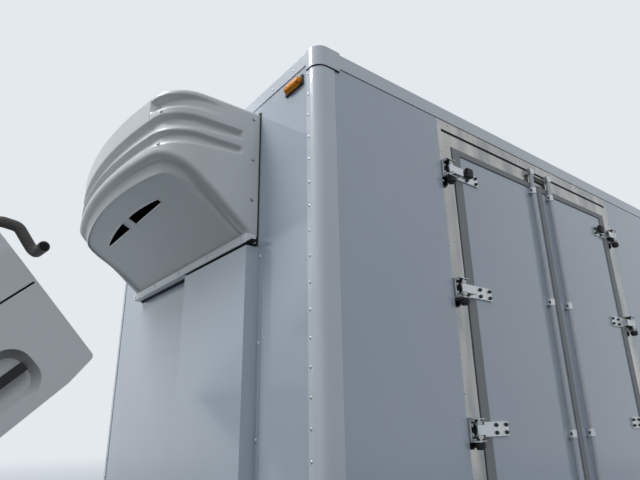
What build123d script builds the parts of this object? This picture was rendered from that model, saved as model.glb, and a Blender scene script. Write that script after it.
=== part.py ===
from build123d import *
from math import atan2, cos, degrees, radians, sin
import os

# Refrigerated truck with a tilting cab: millimetres, +Z up, the front faces -Y, the truck's left is +X.
# Heights are above the ground. Lengths are first laid out from the rear plane of the lowered cab, and the
# last lines carry them to the middle of the parked truck.
os.makedirs("parts", exist_ok=True)

# Load box
BOX_WIDTH = 2100
BOX_LENGTH = 4300
BOX_FLOOR_BOTTOM = 820
BOX_FLOOR_THICKNESS = 80
BOX_TOP = 2930
ROOF_THICKNESS = 62
DECK_THICKNESS = 4
DECK_CLEARANCE = 2
WALL_THICKNESS = 75
CAB_TO_BOX_GAP = 90
SHEET = 3
SEAT_GAP = 0.3
CORNER_RADIUS = 42
POST_SIDE_FLANGE = 80
POST_FRONT_FLANGE = 65
RAIL_HEIGHT = 62
RAIL_ROOF_FLANGE = 60
RAIL_FRONT_HEIGHT = 50
CAP_HEIGHT = 78
CAP_SIDE_REACH = 105
CAP_FRONT_REACH = 62

# Side door opening in the left wall, measured rearward from the front wall
SIDE_FRAME_FRONT = 670
SIDE_FRAME_WIDTH = 1600
SIDE_HEADER = 130
SIDE_SILL = 30
SIDE_DOOR_BOTTOM = 955
JAMB_WIDTH = 80
LEAF_GAP = 6
LEAF_TAPER = 15
HEADER_SLOT_HEIGHT = 14
HEADER_SLOT_DEPTH = 8
HEADER_SLOT_DROP = 49
HEADER_SLOT_SHY = 25

# Rear door opening
REAR_JAMB_WIDTH = 90
REAR_HEADER = 78
REAR_PLATE_WIDTH = 53
REAR_PLATE_SHY = 8

# Hinges and lock bars of the box doors
HINGE_COUNT = 4
HINGE_FROM_BOTTOM = 65
HINGE_FROM_TOP = 128
HINGE_PROUD = 25
HINGE_SETBACK = 53
PIN_RADIUS = 6
PIN_CLEARANCE = 0.4
BARREL_RADIUS = 12
BARREL_HEIGHT = 34
LUG_HEIGHT = 12
LUG_GAP = 1.0
STRAP_LENGTH = 160
STRAP_HEIGHT = 52
STRAP_THICKNESS = 6
HINGE_PLATE_REACH = 34
HINGE_PLATE_HEIGHT = 84
LOCK_BAR_RADIUS = 11
LOCK_BAR_FROM_EDGE = 82
LOCK_BAR_PROUD = 15
LOCK_BAR_OVER = 62
LOCK_BAR_UNDER = 40
LOCK_GUIDE_PLACES = (0.1, 0.315, 0.645, 0.973)
LOCK_HANDLE_HEIGHT = 1215
LOCK_HANDLE_LENGTH = 260

# Refrigeration unit on the front wall
UNIT_HALF_WIDTH = 650
UNIT_TOP_DROP = 92
UNIT_HEIGHT = 592
UNIT_DEPTH = 465
UNIT_CORNER_RADIUS = 160
UNIT_CORNER_CENTRE = (490, -255)
UNIT_TOP_ROUNDING = 16
UNIT_LIP_DEPTH = 52
UNIT_LIP_HEIGHT = 36
# The underside seen from the side: forward of the wall, above the housing's bottom
UNIT_BELLY = ((52, 36), (236, 196), (465, 290))
# Grooves round front and sides: lower edge and upper edge above the housing's bottom, and depth
UNIT_GROOVES = ((344, 405, 20), (412, 482, 20))
UNIT_GROOVE_FROM_WALL = 76
UNIT_RECESS_HEIGHTS = (500, 568)
UNIT_RECESS_ARC = ((655, -140), (588, -345), (493, -394))
UNIT_SLOT_FRONT = ((-306, -313), (-12, -330), (55, -330), (382, -311))
UNIT_SLOT_BACK = ((-306, -300), (-12, -297), (55, -297), (382, -298))
UNIT_SLOT_DEPTH = 40
UNIT_GASKET = 4
UNIT_GASKET_PROUD = 4

# Pipe cover under the unit
DUCT_NEAR_EDGE = 388
DUCT_WIDTH = 572
DUCT_DEPTH = 57
DUCT_UNDER_UNIT = 16
DUCT_FLANGE = 28

# Marker lamps on the front wall
LAMP_FROM_SIDE = 145
LAMP_DROP = 102
LAMP_LENS = (104, 34, 18)
LAMP_BASE = (118, 44, 7)

# Evaporator inside the box, under the roof
EVAPORATOR_HALF = 560
EVAPORATOR_DEPTH = 430
EVAPORATOR_HEIGHT = 230
EVAPORATOR_CHAMFER = 90
FAN_PLACES = (-340, 0, 340)
FAN_DROP = 105
FAN_RADIUS = 85
FAN_HUB_RADIUS = 30

# Frame
RAIL_OUTER = 395
RAIL_FLANGE = 65
RAIL_WEB = 8
FRAME_BOTTOM = 600
FRAME_TOP = 780
FRAME_FRONT = -1400
CROSS_MEMBER_PLACES = (-1345, 60, 950, 1900, 3650)

# Axles and wheels
WHEELBASE = 3400
FRONT_AXLE_Y = -550
TYRE_RADIUS = 385
TYRE_WIDTH = 195
RIM_RADIUS = 203
RIM_WIDTH = 160
RIM_FLANGE = 8
TYRE_WALL = 14
TYRE_TREAD = 18
FRONT_TRACK_HALF = 830
REAR_WHEEL_CENTRES = (668, 898)
KINGPIN_X = 700
SPRING_X = 362
SPRING_WIDTH = 60
SPRING_LEAF = 9
REAR_STUB_RADIUS = 30
AXLE_BOWL_RADIUS = 135
SPRING_LENGTH = 1050
SPRING_SHARES = (0.45, 0.7, 1.0)
SPRING_SEAT = 52
SPRING_EYE = 20
KINGPIN_RADIUS = 16
SPINDLE_RADIUS = 24
FRONT_HUB_RADIUS = 60
REAR_HUB_RADIUS = 75
HAND_HOLES = 8
HAND_HOLE_CIRCLE = 142
HAND_HOLE_RADIUS = 24

# Engine, gearbox and shaft
ENGINE_HALF = 270
ENGINE_Y = (-1120, -420)
ENGINE_Z = (470, 880)
ENGINE_MOUNTS = (-960, -540)
GEARBOX_HALF = 150
GEARBOX_Y = (-420, -60)
GEARBOX_Z = (340, 600)
SHAFT_RADIUS = 38
SHAFT_START = -300

# Fittings of the chassis
ARCH_SHEET = 4
FRONT_ARCH_RADIUS = 465
REAR_ARCH_RADIUS = 414
TANK_X = (425, 760)
TANK_Y = (1050, 1800)
TANK_Z = (400, 700)
TANK_ROUNDING = 45
TANK_STRAPS = (1200, 1650)
BATTERY_X_END = 740
BATTERY_Y = (700, 1150)
BATTERY_Z = (430, 720)
GUARD_BARS = (430, 640)
GUARD_BAR_X = (965, 990)
GUARD_BAR_Y = (450, 2250)
GUARD_POSTS = (620, 1350, 2100)
BUMPER_HALF = 930
BUMPER_Y = (-1800, -1650)
BUMPER_Z = (340, 560)
BUMPER_CORNER = 70
BUMPER_SHEET = 18
UNDERRUN_HALF = 950
UNDERRUN_Z = (440, 540)
TAIL_LAMP_X = (620, 900)
TAIL_LAMP_Z = (640, 740)

# Cab, laid out lowered, then tilted about its pivot
CAB_WIDTH = 1900
CAB_LENGTH = 1600
CAB_ROOF = 2150
CAB_LOWER_EDGE = 924
CAB_REAR_RISE = 12
CAB_REAR_LEAN = 14
CAB_TIGHT = 12
CAB_STEP_BOTTOM = 450
CAB_FRONT_BOTTOM = 620
CAB_WALL = 45
CAB_PLAN_EASE = 2
CAB_TUNNEL_HALF = 460
CAB_TUNNEL_TOP = 905
CAB_PIVOT_Y = -1280
CAB_PIVOT_Z = 680
CAB_TILT = 44
CAB_BELT = 1260
CAB_SIDE_LEAN = 75
DOOR_GAP = 5
DOOR_CUT_DEPTH = 170
WINDSCREEN = ((-800, 1330), (800, 1330), (735, 2020), (-735, 2020))
REAR_WINDOW = ((-520, 1430), (520, 1430), (520, 1850), (-520, 1850))
SIDE_WINDOW = ((-1250, 1400), (-470, 1400), (-470, 1950), (-1050, 1950))
CAB_DOOR_FRONT = -1330
CAB_DOOR_REAR = -400
GLASS_THICKNESS = 5
GLASS_DEPTH = 14
CAB_PIN_DEPTH = 10
CAB_PIN_SETBACK = 6
CAB_PIN_RADIUS = 5
CAB_HINGE_HEIGHTS = (720, 1250)
STEERING_WHEEL = (-420, -1040, 1330)
TOW_EYE_RADIUS = 13
GRIP_DEPTH = 30
GRIP_RECESS = ((-350, 952), (-106, 1076))
GRIP_TAPER = 30
GRIP_BAR = ((-310, 1006), (-124, 1028))
SEAM_HEIGHT = 1163
SEAM_WIDTH = 5
SEAM_DEPTH = 8
TUBE_RADIUS = 13.5
TUBE_ROUTE = ((905, 14.3, 1335), (905, 40, 1335), (905, 66, 1300), (905, 55, 1225), (982, 60, 1219))
TUBE_BEND = 24
STAY_FOOT = (-950, 720)
STAY_HEAD = (-350, 900)
STAY_X = (458, 484)
STAY_PIN_RADIUS = 9
PIVOT_TUBE_RADIUS = 22
SEAT_X = (150, 760)
MIRROR_HEIGHTS = (1340, 1660)
HEADLAMP_X = (640, 860)
HEADLAMP_Z = (720, 880)

half_box = BOX_WIDTH / 2
box_front = CAB_TO_BOX_GAP
box_rear = box_front + BOX_LENGTH
floor_top = BOX_FLOOR_BOTTOM + BOX_FLOOR_THICKNESS
roof_bottom = BOX_TOP - ROOF_THICKNESS
side_door_top = roof_bottom - SIDE_HEADER
rear_door_top = roof_bottom - REAR_HEADER
hinge_step = (side_door_top - HINGE_FROM_TOP - SIDE_DOOR_BOTTOM - HINGE_FROM_BOTTOM) / (HINGE_COUNT - 1)
hinge_heights = [SIDE_DOOR_BOTTOM + HINGE_FROM_BOTTOM + place * hinge_step for place in range(HINGE_COUNT)]
side_door_height = side_door_top - SIDE_DOOR_BOTTOM
guide_heights = [SIDE_DOOR_BOTTOM + place * side_door_height for place in LOCK_GUIDE_PLACES]
unit_top = BOX_TOP - UNIT_TOP_DROP
unit_bottom = unit_top - UNIT_HEIGHT
duct_top = unit_bottom - DUCT_UNDER_UNIT
rear_axle_y = FRONT_AXLE_Y + WHEELBASE
half_cab = CAB_WIDTH / 2
nodes = {}


def block(x, y, z):
    """A box between the low and high value of each direction."""
    size = [high - low for low, high in (x, y, z)]
    return Pos(*[(low + high) / 2 for low, high in (x, y, z)]) * Box(*size)


def rod(way, centre, radius, length):
    """A round bar along x, y or z about its centre."""
    turn = {"x": Rot(0, 90, 0), "y": Rot(90, 0, 0), "z": Rot(0, 0, 0)}[way]
    return Pos(*centre) * turn * Cylinder(radius, length)


def rounded(points, radius, tight=(), tight_radius=0):
    """A closed outline with its corners rounded, the tight corners by a radius of their own."""
    face = make_face(Polyline(*points, close=True))
    wide = [point for point in points if point not in tight]
    for places, size in ((tight, tight_radius), (wide, radius)):
        for place in places:
            corner = face.vertices().sort_by_distance((*place, 0))[0]
            face = fillet(corner, size)
    return face


def side_plate(outline, x):
    """An outline in (y, z) made as thick as the span x."""
    return extrude(Plane.YZ.offset(x[0]) * outline, x[1] - x[0], dir=(1, 0, 0))


def front_plate(outline, y):
    """An outline in (x, z) made as thick as the span y."""
    return extrude(Plane.XZ.offset(-y[1]) * outline, y[1] - y[0], dir=(0, -1, 0))


def level_plate(outline, z):
    """An outline in (x, y) made as thick as the span z."""
    return extrude(Plane.XY.offset(z[0]) * outline, z[1] - z[0], dir=(0, 0, 1))


def both(solid):
    """A piece with its mirror image on the truck's other side."""
    return solid + mirror(solid, Plane.YZ)


def tilted(solid):
    """A cab piece turned about the pivot to the parked, tilted place."""
    pivot = Pos(0, CAB_PIVOT_Y, CAB_PIVOT_Z)
    return pivot * Rot(CAB_TILT, 0, 0) * pivot.inverse() * solid


# Load box panels
def box_panels():
    """Floor with its deck, front wall, side walls and roof, each as thick as the whole insulated panel."""
    inner = half_box - WALL_THICKNESS
    wall_y = (box_front + WALL_THICKNESS, box_rear - WALL_THICKNESS)
    wall_z = (floor_top, roof_bottom)
    frame_y = (box_front + SIDE_FRAME_FRONT, box_front + SIDE_FRAME_FRONT + SIDE_FRAME_WIDTH)
    floor = block((-half_box, half_box), (box_front, box_rear), (BOX_FLOOR_BOTTOM, floor_top))
    roof = block((-half_box, half_box), (box_front, box_rear), (roof_bottom, BOX_TOP))
    front = block((-half_box, half_box), (box_front, wall_y[0]), wall_z)
    left = block((inner, half_box), wall_y, wall_z)
    left -= block((inner, half_box), frame_y, (floor_top + SIDE_SILL, roof_bottom))
    deck_y = (wall_y[0] + DECK_CLEARANCE, wall_y[1] - DECK_CLEARANCE)
    deck_x = (DECK_CLEARANCE - inner, inner - DECK_CLEARANCE)
    deck = block(deck_x, deck_y, (floor_top, floor_top + DECK_THICKNESS))
    nodes["box_floor"] = soften_front(floor) + deck
    nodes["box_roof"] = soften_front(roof)
    nodes["box_front_wall"] = soften_front(front)
    nodes["box_left_wall"] = left
    nodes["box_right_wall"] = block((-half_box, -inner), wall_y, wall_z)


def soften_front(panel):
    """A panel with the two upright front corners of the box rounded."""
    corners = panel.edges().filter_by(Axis.Z).group_by(Axis.Y)[0]
    return fillet(corners, CORNER_RADIUS)


def corner_block(grow, reach_down):
    """The front left upper corner of the box, grown by a sheet's thickness and rounded."""
    width = CAP_SIDE_REACH + CORNER_RADIUS
    x = (half_box - width, half_box + grow)
    y = (box_front - grow, box_front + width)
    z = (BOX_TOP - reach_down, BOX_TOP + grow)
    corner = block(x, y, z)
    upright = corner.edges().filter_by(Axis.Z).group_by(Axis.Y)[0].sort_by(Axis.X)[-1]
    return fillet(upright, CORNER_RADIUS + grow)


def box_trim():
    """Corner posts, roof edge rails and corner caps: thin bent sheet round the edges of the box."""
    grow = SHEET + SEAT_GAP
    box_height = BOX_TOP - BOX_FLOOR_BOTTOM
    post = corner_block(grow, box_height) - corner_block(SEAT_GAP, box_height)
    post_x = (half_box - POST_FRONT_FLANGE, half_box + grow)
    post_y = (box_front - grow, box_front + POST_SIDE_FLANGE)
    post &= block(post_x, post_y, (BOX_FLOOR_BOTTOM, BOX_TOP - RAIL_HEIGHT))
    outer = half_box + grow
    seat = half_box + SEAT_GAP
    edge_y = (box_front + POST_SIDE_FLANGE, box_rear)
    edge = block((half_box - RAIL_ROOF_FLANGE, outer), edge_y, (BOX_TOP - RAIL_HEIGHT, BOX_TOP + grow))
    edge -= block((0, seat), (box_front, box_rear), (0, BOX_TOP + SEAT_GAP))
    top_edge = edge.edges().filter_by(Axis.Y).group_by(Axis.Z)[-1].sort_by(Axis.X)[-1]
    edge = fillet(top_edge, SHEET)
    front_x = (-half_box + POST_FRONT_FLANGE, half_box - POST_FRONT_FLANGE)
    front_y = (box_front - grow, box_front + RAIL_ROOF_FLANGE)
    front = block(front_x, front_y, (BOX_TOP - RAIL_FRONT_HEIGHT, BOX_TOP + grow))
    front -= block((-half_box, half_box), (box_front - SEAT_GAP, box_rear), (0, BOX_TOP + SEAT_GAP))
    nodes["roof_rails"] = both(edge) + front
    cap = corner_block(2 * grow, CAP_HEIGHT) - corner_block(grow + SEAT_GAP, 2 * CAP_HEIGHT)
    cap_x = (half_box - CAP_FRONT_REACH, outer + grow)
    cap_y = (box_front - 2 * grow, box_front + CAP_SIDE_REACH)
    cap &= block(cap_x, cap_y, (BOX_TOP - CAP_HEIGHT, BOX_TOP + 2 * grow))
    nodes["corner_posts"] = both(post) + both(cap)


def hinge_fixed(height, pin_x, face_y, side, reach):
    """Plate, two lugs and pin of one hinge on a face that looks along +y, its leaf lying towards -side."""
    z = (height - HINGE_PLATE_HEIGHT / 2, height + HINGE_PLATE_HEIGHT / 2)
    reach = sorted((pin_x - side * reach[0], pin_x + side * reach[1]))
    plate = block(reach, (face_y, face_y + STRAP_THICKNESS), z)
    middle = BARREL_HEIGHT / 2 + LUG_GAP + LUG_HEIGHT / 2
    for drop in (-middle, middle):
        lug_z = (height + drop - LUG_HEIGHT / 2, height + drop + LUG_HEIGHT / 2)
        lug = rod("z", (pin_x, face_y + HINGE_PROUD, height + drop), BARREL_RADIUS, LUG_HEIGHT)
        lug += block((pin_x - BARREL_RADIUS, pin_x + BARREL_RADIUS), (face_y, face_y + HINGE_PROUD), lug_z)
        plate += lug
    return plate + rod("z", (pin_x, face_y + HINGE_PROUD, height), PIN_RADIUS, HINGE_PLATE_HEIGHT)


def hinge_moving(height, pin_x, face_y, side, setback):
    """Barrel and strap of one hinge, the strap lying on the leaf towards -side."""
    barrel_z = (height - BARREL_HEIGHT / 2, height + BARREL_HEIGHT / 2)
    strap_z = (height - STRAP_HEIGHT / 2, height + STRAP_HEIGHT / 2)
    foot = face_y + SEAT_GAP
    pin_y = face_y + HINGE_PROUD
    bend_x = pin_x - side * (setback + LEAF_GAP)
    arm_y = (pin_y - STRAP_THICKNESS, pin_y + STRAP_THICKNESS)
    arm = block(sorted((bend_x, pin_x)), arm_y, barrel_z)
    strap = sorted((bend_x, pin_x - side * (setback + STRAP_LENGTH)))
    arm += block(strap, (foot, foot + STRAP_THICKNESS), strap_z)
    bend = sorted((bend_x, bend_x - 3 * side * STRAP_THICKNESS))
    arm += block(bend, (foot, pin_y + STRAP_THICKNESS), barrel_z)
    arm += rod("z", (pin_x, pin_y, height), BARREL_RADIUS, BARREL_HEIGHT)
    return arm - rod("z", (pin_x, pin_y, height), PIN_RADIUS + PIN_CLEARANCE, 2 * BARREL_HEIGHT)


def leaf(x, face_y, z):
    """An insulated leaf whose edges taper inwards, so that it swings clear of its frame."""
    back_y = face_y - WALL_THICKNESS
    points = ((x[0], face_y), (x[1], face_y), (x[1] - LEAF_TAPER, back_y), (x[0] + LEAF_TAPER, back_y))
    return level_plate(make_face(Polyline(*points, close=True)), z)


def lock_bar(x, face_y, z):
    """An upright lock bar with its guides, a handle and a cam at each end."""
    y = face_y + LOCK_BAR_PROUD
    bar = rod("z", (x, y, (z[0] + z[1]) / 2), LOCK_BAR_RADIUS, z[1] - z[0])
    foot = face_y + SEAT_GAP
    for height in guide_heights:
        guide = block((x - 26, x + 26), (foot, y), (height - 16, height + 16))
        bar += guide + rod("z", (x, y, height), LOCK_BAR_PROUD - SEAT_GAP, 32)
    for height in z:
        bar += block((x - 18, x + 18), (foot, y + LOCK_BAR_RADIUS), (height - 14, height + 14))
    return bar


def door_pair(opening_x, face_y, z, bar_top, setback, plate_reach):
    """Two leaves that meet in the middle of an opening, with their hinges and lock bars, facing +y."""
    middle = sum(opening_x) / 2
    made = {"frame_hinges": Part(), "leaves": {}}
    for side, label in ((-1, "low"), (1, "high")):
        edge = opening_x[0] if side < 0 else opening_x[1]
        leaf_x = sorted((edge - side * LEAF_GAP, middle + side * LEAF_GAP / 2))
        pin_x = edge - side * LEAF_GAP + side * setback
        panel = leaf(leaf_x, face_y, z)
        hardware = Part()
        for height in hinge_heights:
            made["frame_hinges"] += hinge_fixed(height, pin_x, face_y, side, plate_reach)
            hardware += hinge_moving(height, pin_x, face_y, side, setback)
        bar_x = middle + side * LOCK_BAR_FROM_EDGE
        hardware += lock_bar(bar_x, face_y, (z[0] - LOCK_BAR_UNDER, bar_top))
        grip_z = (LOCK_HANDLE_HEIGHT - 14, LOCK_HANDLE_HEIGHT + 14)
        grip_x = sorted((bar_x, bar_x + side * LOCK_HANDLE_LENGTH))
        hardware += block(grip_x, (face_y + 8, face_y + 20), grip_z)
        made["leaves"][label] = (panel, hardware, pin_x)
    return made


def turn_to_left(solid):
    """A piece laid out facing +y from the front wall, turned so that it faces the truck's left."""
    return Pos(half_box, box_front, 0) * Rot(0, 0, -90) * solid


def side_doors():
    """Side door frame and its two leaves, laid out facing +y and turned to the left wall."""
    # Facing +y, a place s behind the front wall lies at x = -s.
    outer = (-SIDE_FRAME_FRONT - SIDE_FRAME_WIDTH, -SIDE_FRAME_FRONT)
    opening = (outer[0] + JAMB_WIDTH, outer[1] - JAMB_WIDTH)
    frame = block(outer, (-WALL_THICKNESS, 0), (floor_top + SIDE_SILL, roof_bottom))
    hole = Polyline((opening[0], 0), (opening[1], 0), (opening[1] - LEAF_TAPER, -WALL_THICKNESS),
                    (opening[0] + LEAF_TAPER, -WALL_THICKNESS), close=True)
    frame -= level_plate(make_face(hole), (SIDE_DOOR_BOTTOM - LEAF_GAP, side_door_top + LEAF_GAP))
    slot_top = roof_bottom - HEADER_SLOT_DROP
    slot_x = (outer[0] + HEADER_SLOT_SHY, outer[1] - HEADER_SLOT_SHY)
    frame -= block(slot_x, (-HEADER_SLOT_DEPTH, 0), (slot_top - HEADER_SLOT_HEIGHT, slot_top))
    pair = door_pair(opening, 0, (SIDE_DOOR_BOTTOM, side_door_top), side_door_top + LOCK_BAR_OVER,
                     HINGE_SETBACK, (2 * BARREL_RADIUS, HINGE_PLATE_REACH))
    nodes["side_door_frame"] = turn_to_left(frame + pair["frame_hinges"])
    for label, name in (("high", "front"), ("low", "rear")):
        panel, hardware, pin_x = pair["leaves"][label]
        nodes["side_door_%s_leaf" % name] = turn_to_left(panel)
        nodes["side_door_%s_hardware" % name] = turn_to_left(hardware)
        print("pin side_door_%s" % name, half_box + HINGE_PROUD, box_front - pin_x)


def rear_doors():
    """Rear frame with its two leaves; the pins stand outside the corners, so that the leaves swing round."""
    frame = block((-half_box, half_box), (box_rear - WALL_THICKNESS, box_rear), (floor_top, roof_bottom))
    opening = (-half_box + REAR_JAMB_WIDTH, half_box - REAR_JAMB_WIDTH)
    face = box_rear
    hole = Polyline((opening[0], face), (opening[1], face), (opening[1] - LEAF_TAPER, face - WALL_THICKNESS),
                    (opening[0] + LEAF_TAPER, face - WALL_THICKNESS), close=True)
    frame -= level_plate(make_face(hole), (SIDE_DOOR_BOTTOM - LEAF_GAP, rear_door_top + LEAF_GAP))
    setback = half_box + HINGE_PROUD - opening[1] + LEAF_GAP
    pair = door_pair(opening, face, (SIDE_DOOR_BOTTOM, rear_door_top), rear_door_top + LOCK_BAR_UNDER,
                     setback, (REAR_PLATE_WIDTH, -REAR_PLATE_SHY))
    nodes["rear_door_frame"] = frame + pair["frame_hinges"]
    for label, name in (("high", "left"), ("low", "right")):
        panel, hardware, pin_x = pair["leaves"][label]
        nodes["rear_door_%s_leaf" % name] = panel
        nodes["rear_door_%s_hardware" % name] = hardware
        print("pin rear_door_%s" % name, pin_x, face + HINGE_PROUD)


def unit_edges():
    """Side, corner arc, bowed front, corner arc and side of the housing from above, all smoothly joined."""
    centre_x, centre_y = UNIT_CORNER_CENTRE
    radius = UNIT_CORNER_RADIUS
    reach = UNIT_DEPTH + centre_y
    bow = (centre_x ** 2 + reach ** 2 - radius ** 2) / (2 * (reach - radius))
    turn = atan2(centre_x, bow - reach)
    halfway = (turn + radians(90)) / 2
    side = centre_x + radius
    end = (centre_x + radius * sin(turn), centre_y - radius * cos(turn))
    middle = (centre_x + radius * sin(halfway), centre_y - radius * cos(halfway))
    return [
        Line((side, 0), (side, centre_y)),
        ThreePointArc((side, centre_y), middle, end),
        ThreePointArc(end, (0, -UNIT_DEPTH), (-end[0], end[1])),
        ThreePointArc((-end[0], end[1]), (-middle[0], middle[1]), (-side, centre_y)),
        Line((-side, centre_y), (-side, 0)),
    ]


def unit_belly():
    """The space the housing may fill, seen from the side: over its curved underside and under its top."""
    points = [(-forward, unit_bottom + up) for forward, up in UNIT_BELLY]
    far = -2 * UNIT_DEPTH
    outline = [
        Polyline((0, unit_top), (0, points[0][1]), points[0]),
        ThreePointArc(*points),
        Polyline(points[2], (far, points[2][1]), (far, unit_top), (0, unit_top)),
    ]
    return side_plate(make_face(outline), (-UNIT_HALF_WIDTH, UNIT_HALF_WIDTH))


def unit_groove(low, high, depth):
    """What a groove takes away: a steep upper lip and a sloping floor, swept round sides and front."""
    sides = unit_edges()
    start = (UNIT_HALF_WIDTH, -UNIT_GROOVE_FROM_WALL)
    sides[0] = Line(start, sides[0] @ 1)
    sides[4] = Line(sides[4] @ 0, (-start[0], start[1]))
    tall = high - low
    floor = ((-depth, low + 0.4 * tall), (-depth, high - 0.25 * tall))
    section = Polyline((2 * depth, low), (0, low), *floor, (0, high), (2 * depth, high), close=True)
    plane = Plane(origin=(*start, unit_bottom), x_dir=(1, 0, 0), z_dir=(0, -1, 0))
    path = Pos(0, 0, unit_bottom) * Wire(Curve() + sides)
    return sweep(plane * make_face(section), path=path)


def refrigeration_unit():
    """Moulded housing: bowed front, curved underside with a lip, and grooves round front and sides."""
    wall_y = box_front - SEAT_GAP - UNIT_GASKET
    sides = unit_edges()
    plan = make_face([*sides, Line((-UNIT_HALF_WIDTH, 0), (UNIT_HALF_WIDTH, 0))])
    body = level_plate(plan, (unit_bottom, unit_top)) & unit_belly()
    top_edges = body.edges().group_by(Axis.Z)[-1].sort_by(Axis.Y)[:-1]
    body = fillet(top_edges, UNIT_TOP_ROUNDING)
    for low, high, depth in UNIT_GROOVES:
        body -= unit_groove(low, high, depth)
    start, _, end = UNIT_RECESS_ARC
    far_x, far_y = 2 * UNIT_HALF_WIDTH, -2 * UNIT_DEPTH
    beyond = Polyline(end, (end[0], far_y), (far_x, far_y), (far_x, start[1]), start)
    recess = make_face([ThreePointArc(*UNIT_RECESS_ARC), beyond])
    body -= both(level_plate(recess, [unit_bottom + height for height in UNIT_RECESS_HEIGHTS]))
    slot_top = unit_bottom + UNIT_BELLY[1][1] + UNIT_SLOT_DEPTH + 30
    for first in (0, 2):
        corners = [*UNIT_SLOT_FRONT[first:first + 2], *reversed(UNIT_SLOT_BACK[first:first + 2])]
        body -= level_plate(make_face(Polyline(*corners, close=True)), (unit_bottom, slot_top))
    lip_z = (unit_bottom, unit_bottom + UNIT_LIP_HEIGHT)
    lip = block((-UNIT_HALF_WIDTH, UNIT_HALF_WIDTH), (-UNIT_LIP_DEPTH, 0), lip_z)
    nodes["refrigeration_unit"] = Pos(0, wall_y, 0) * (body + lip)
    gasket_half = UNIT_HALF_WIDTH + UNIT_GASKET_PROUD
    gasket_z = (unit_bottom - UNIT_GASKET_PROUD, unit_top + UNIT_GASKET_PROUD)
    nodes["unit_gasket"] = block((-gasket_half, gasket_half), (wall_y, box_front - SEAT_GAP), gasket_z)


def pipe_cover():
    """Tall shallow cover over the unit's pipes, with a wall flange on each side."""
    x = (half_box - DUCT_NEAR_EDGE - DUCT_WIDTH, half_box - DUCT_NEAR_EDGE)
    back = box_front - SEAT_GAP
    z = (BOX_FLOOR_BOTTOM, duct_top)
    cover = block(x, (back - DUCT_DEPTH, back), z)
    cover -= block((x[0] + SHEET, x[1] - SHEET), (back - DUCT_DEPTH + SHEET, back), (z[0], z[1] - SHEET))
    for edge in ((x[0] - DUCT_FLANGE, x[0] + SHEET), (x[1] - SHEET, x[1] + DUCT_FLANGE)):
        cover += block(edge, (back - SHEET, back), z)
    nodes["pipe_cover"] = cover


def box_fittings():
    """Marker lamps on the front wall and the evaporator inside under the roof."""
    x, z = half_box - LAMP_FROM_SIDE, BOX_TOP - LAMP_DROP
    back = box_front - SEAT_GAP
    base = block((x - LAMP_BASE[0] / 2, x + LAMP_BASE[0] / 2), (back - LAMP_BASE[2], back),
                 (z - LAMP_BASE[1] / 2, z + LAMP_BASE[1] / 2))
    base = fillet(base.edges().filter_by(Axis.Y), 0.45 * LAMP_BASE[1])
    front = back - LAMP_BASE[2]
    lens = block((x - LAMP_LENS[0] / 2, x + LAMP_LENS[0] / 2), (front - LAMP_LENS[2], front),
                 (z - LAMP_LENS[1] / 2, z + LAMP_LENS[1] / 2))
    lens = fillet(lens.edges().filter_by(Axis.Y), 0.45 * LAMP_LENS[1])
    lens = fillet(lens.edges().group_by(Axis.Y)[0], LAMP_LENS[2] / 3)
    nodes["marker_lamps"] = both(base + lens)
    wall_y = box_front + WALL_THICKNESS
    y = (wall_y + SEAT_GAP, wall_y + EVAPORATOR_DEPTH)
    z = (roof_bottom - EVAPORATOR_HEIGHT, roof_bottom - SEAT_GAP)
    evaporator = block((-EVAPORATOR_HALF, EVAPORATOR_HALF), y, z)
    lower_edge = evaporator.edges().filter_by(Axis.X).group_by(Axis.Z)[0].sort_by(Axis.Y)[-1]
    evaporator = chamfer(lower_edge, EVAPORATOR_CHAMFER)
    fan_z = roof_bottom - FAN_DROP
    for x in FAN_PLACES:
        evaporator -= rod("y", (x, y[1], fan_z), FAN_RADIUS, 120)
        evaporator += rod("y", (x, y[1] - 40, fan_z), FAN_HUB_RADIUS, 60)
    nodes["evaporator"] = evaporator


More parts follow.
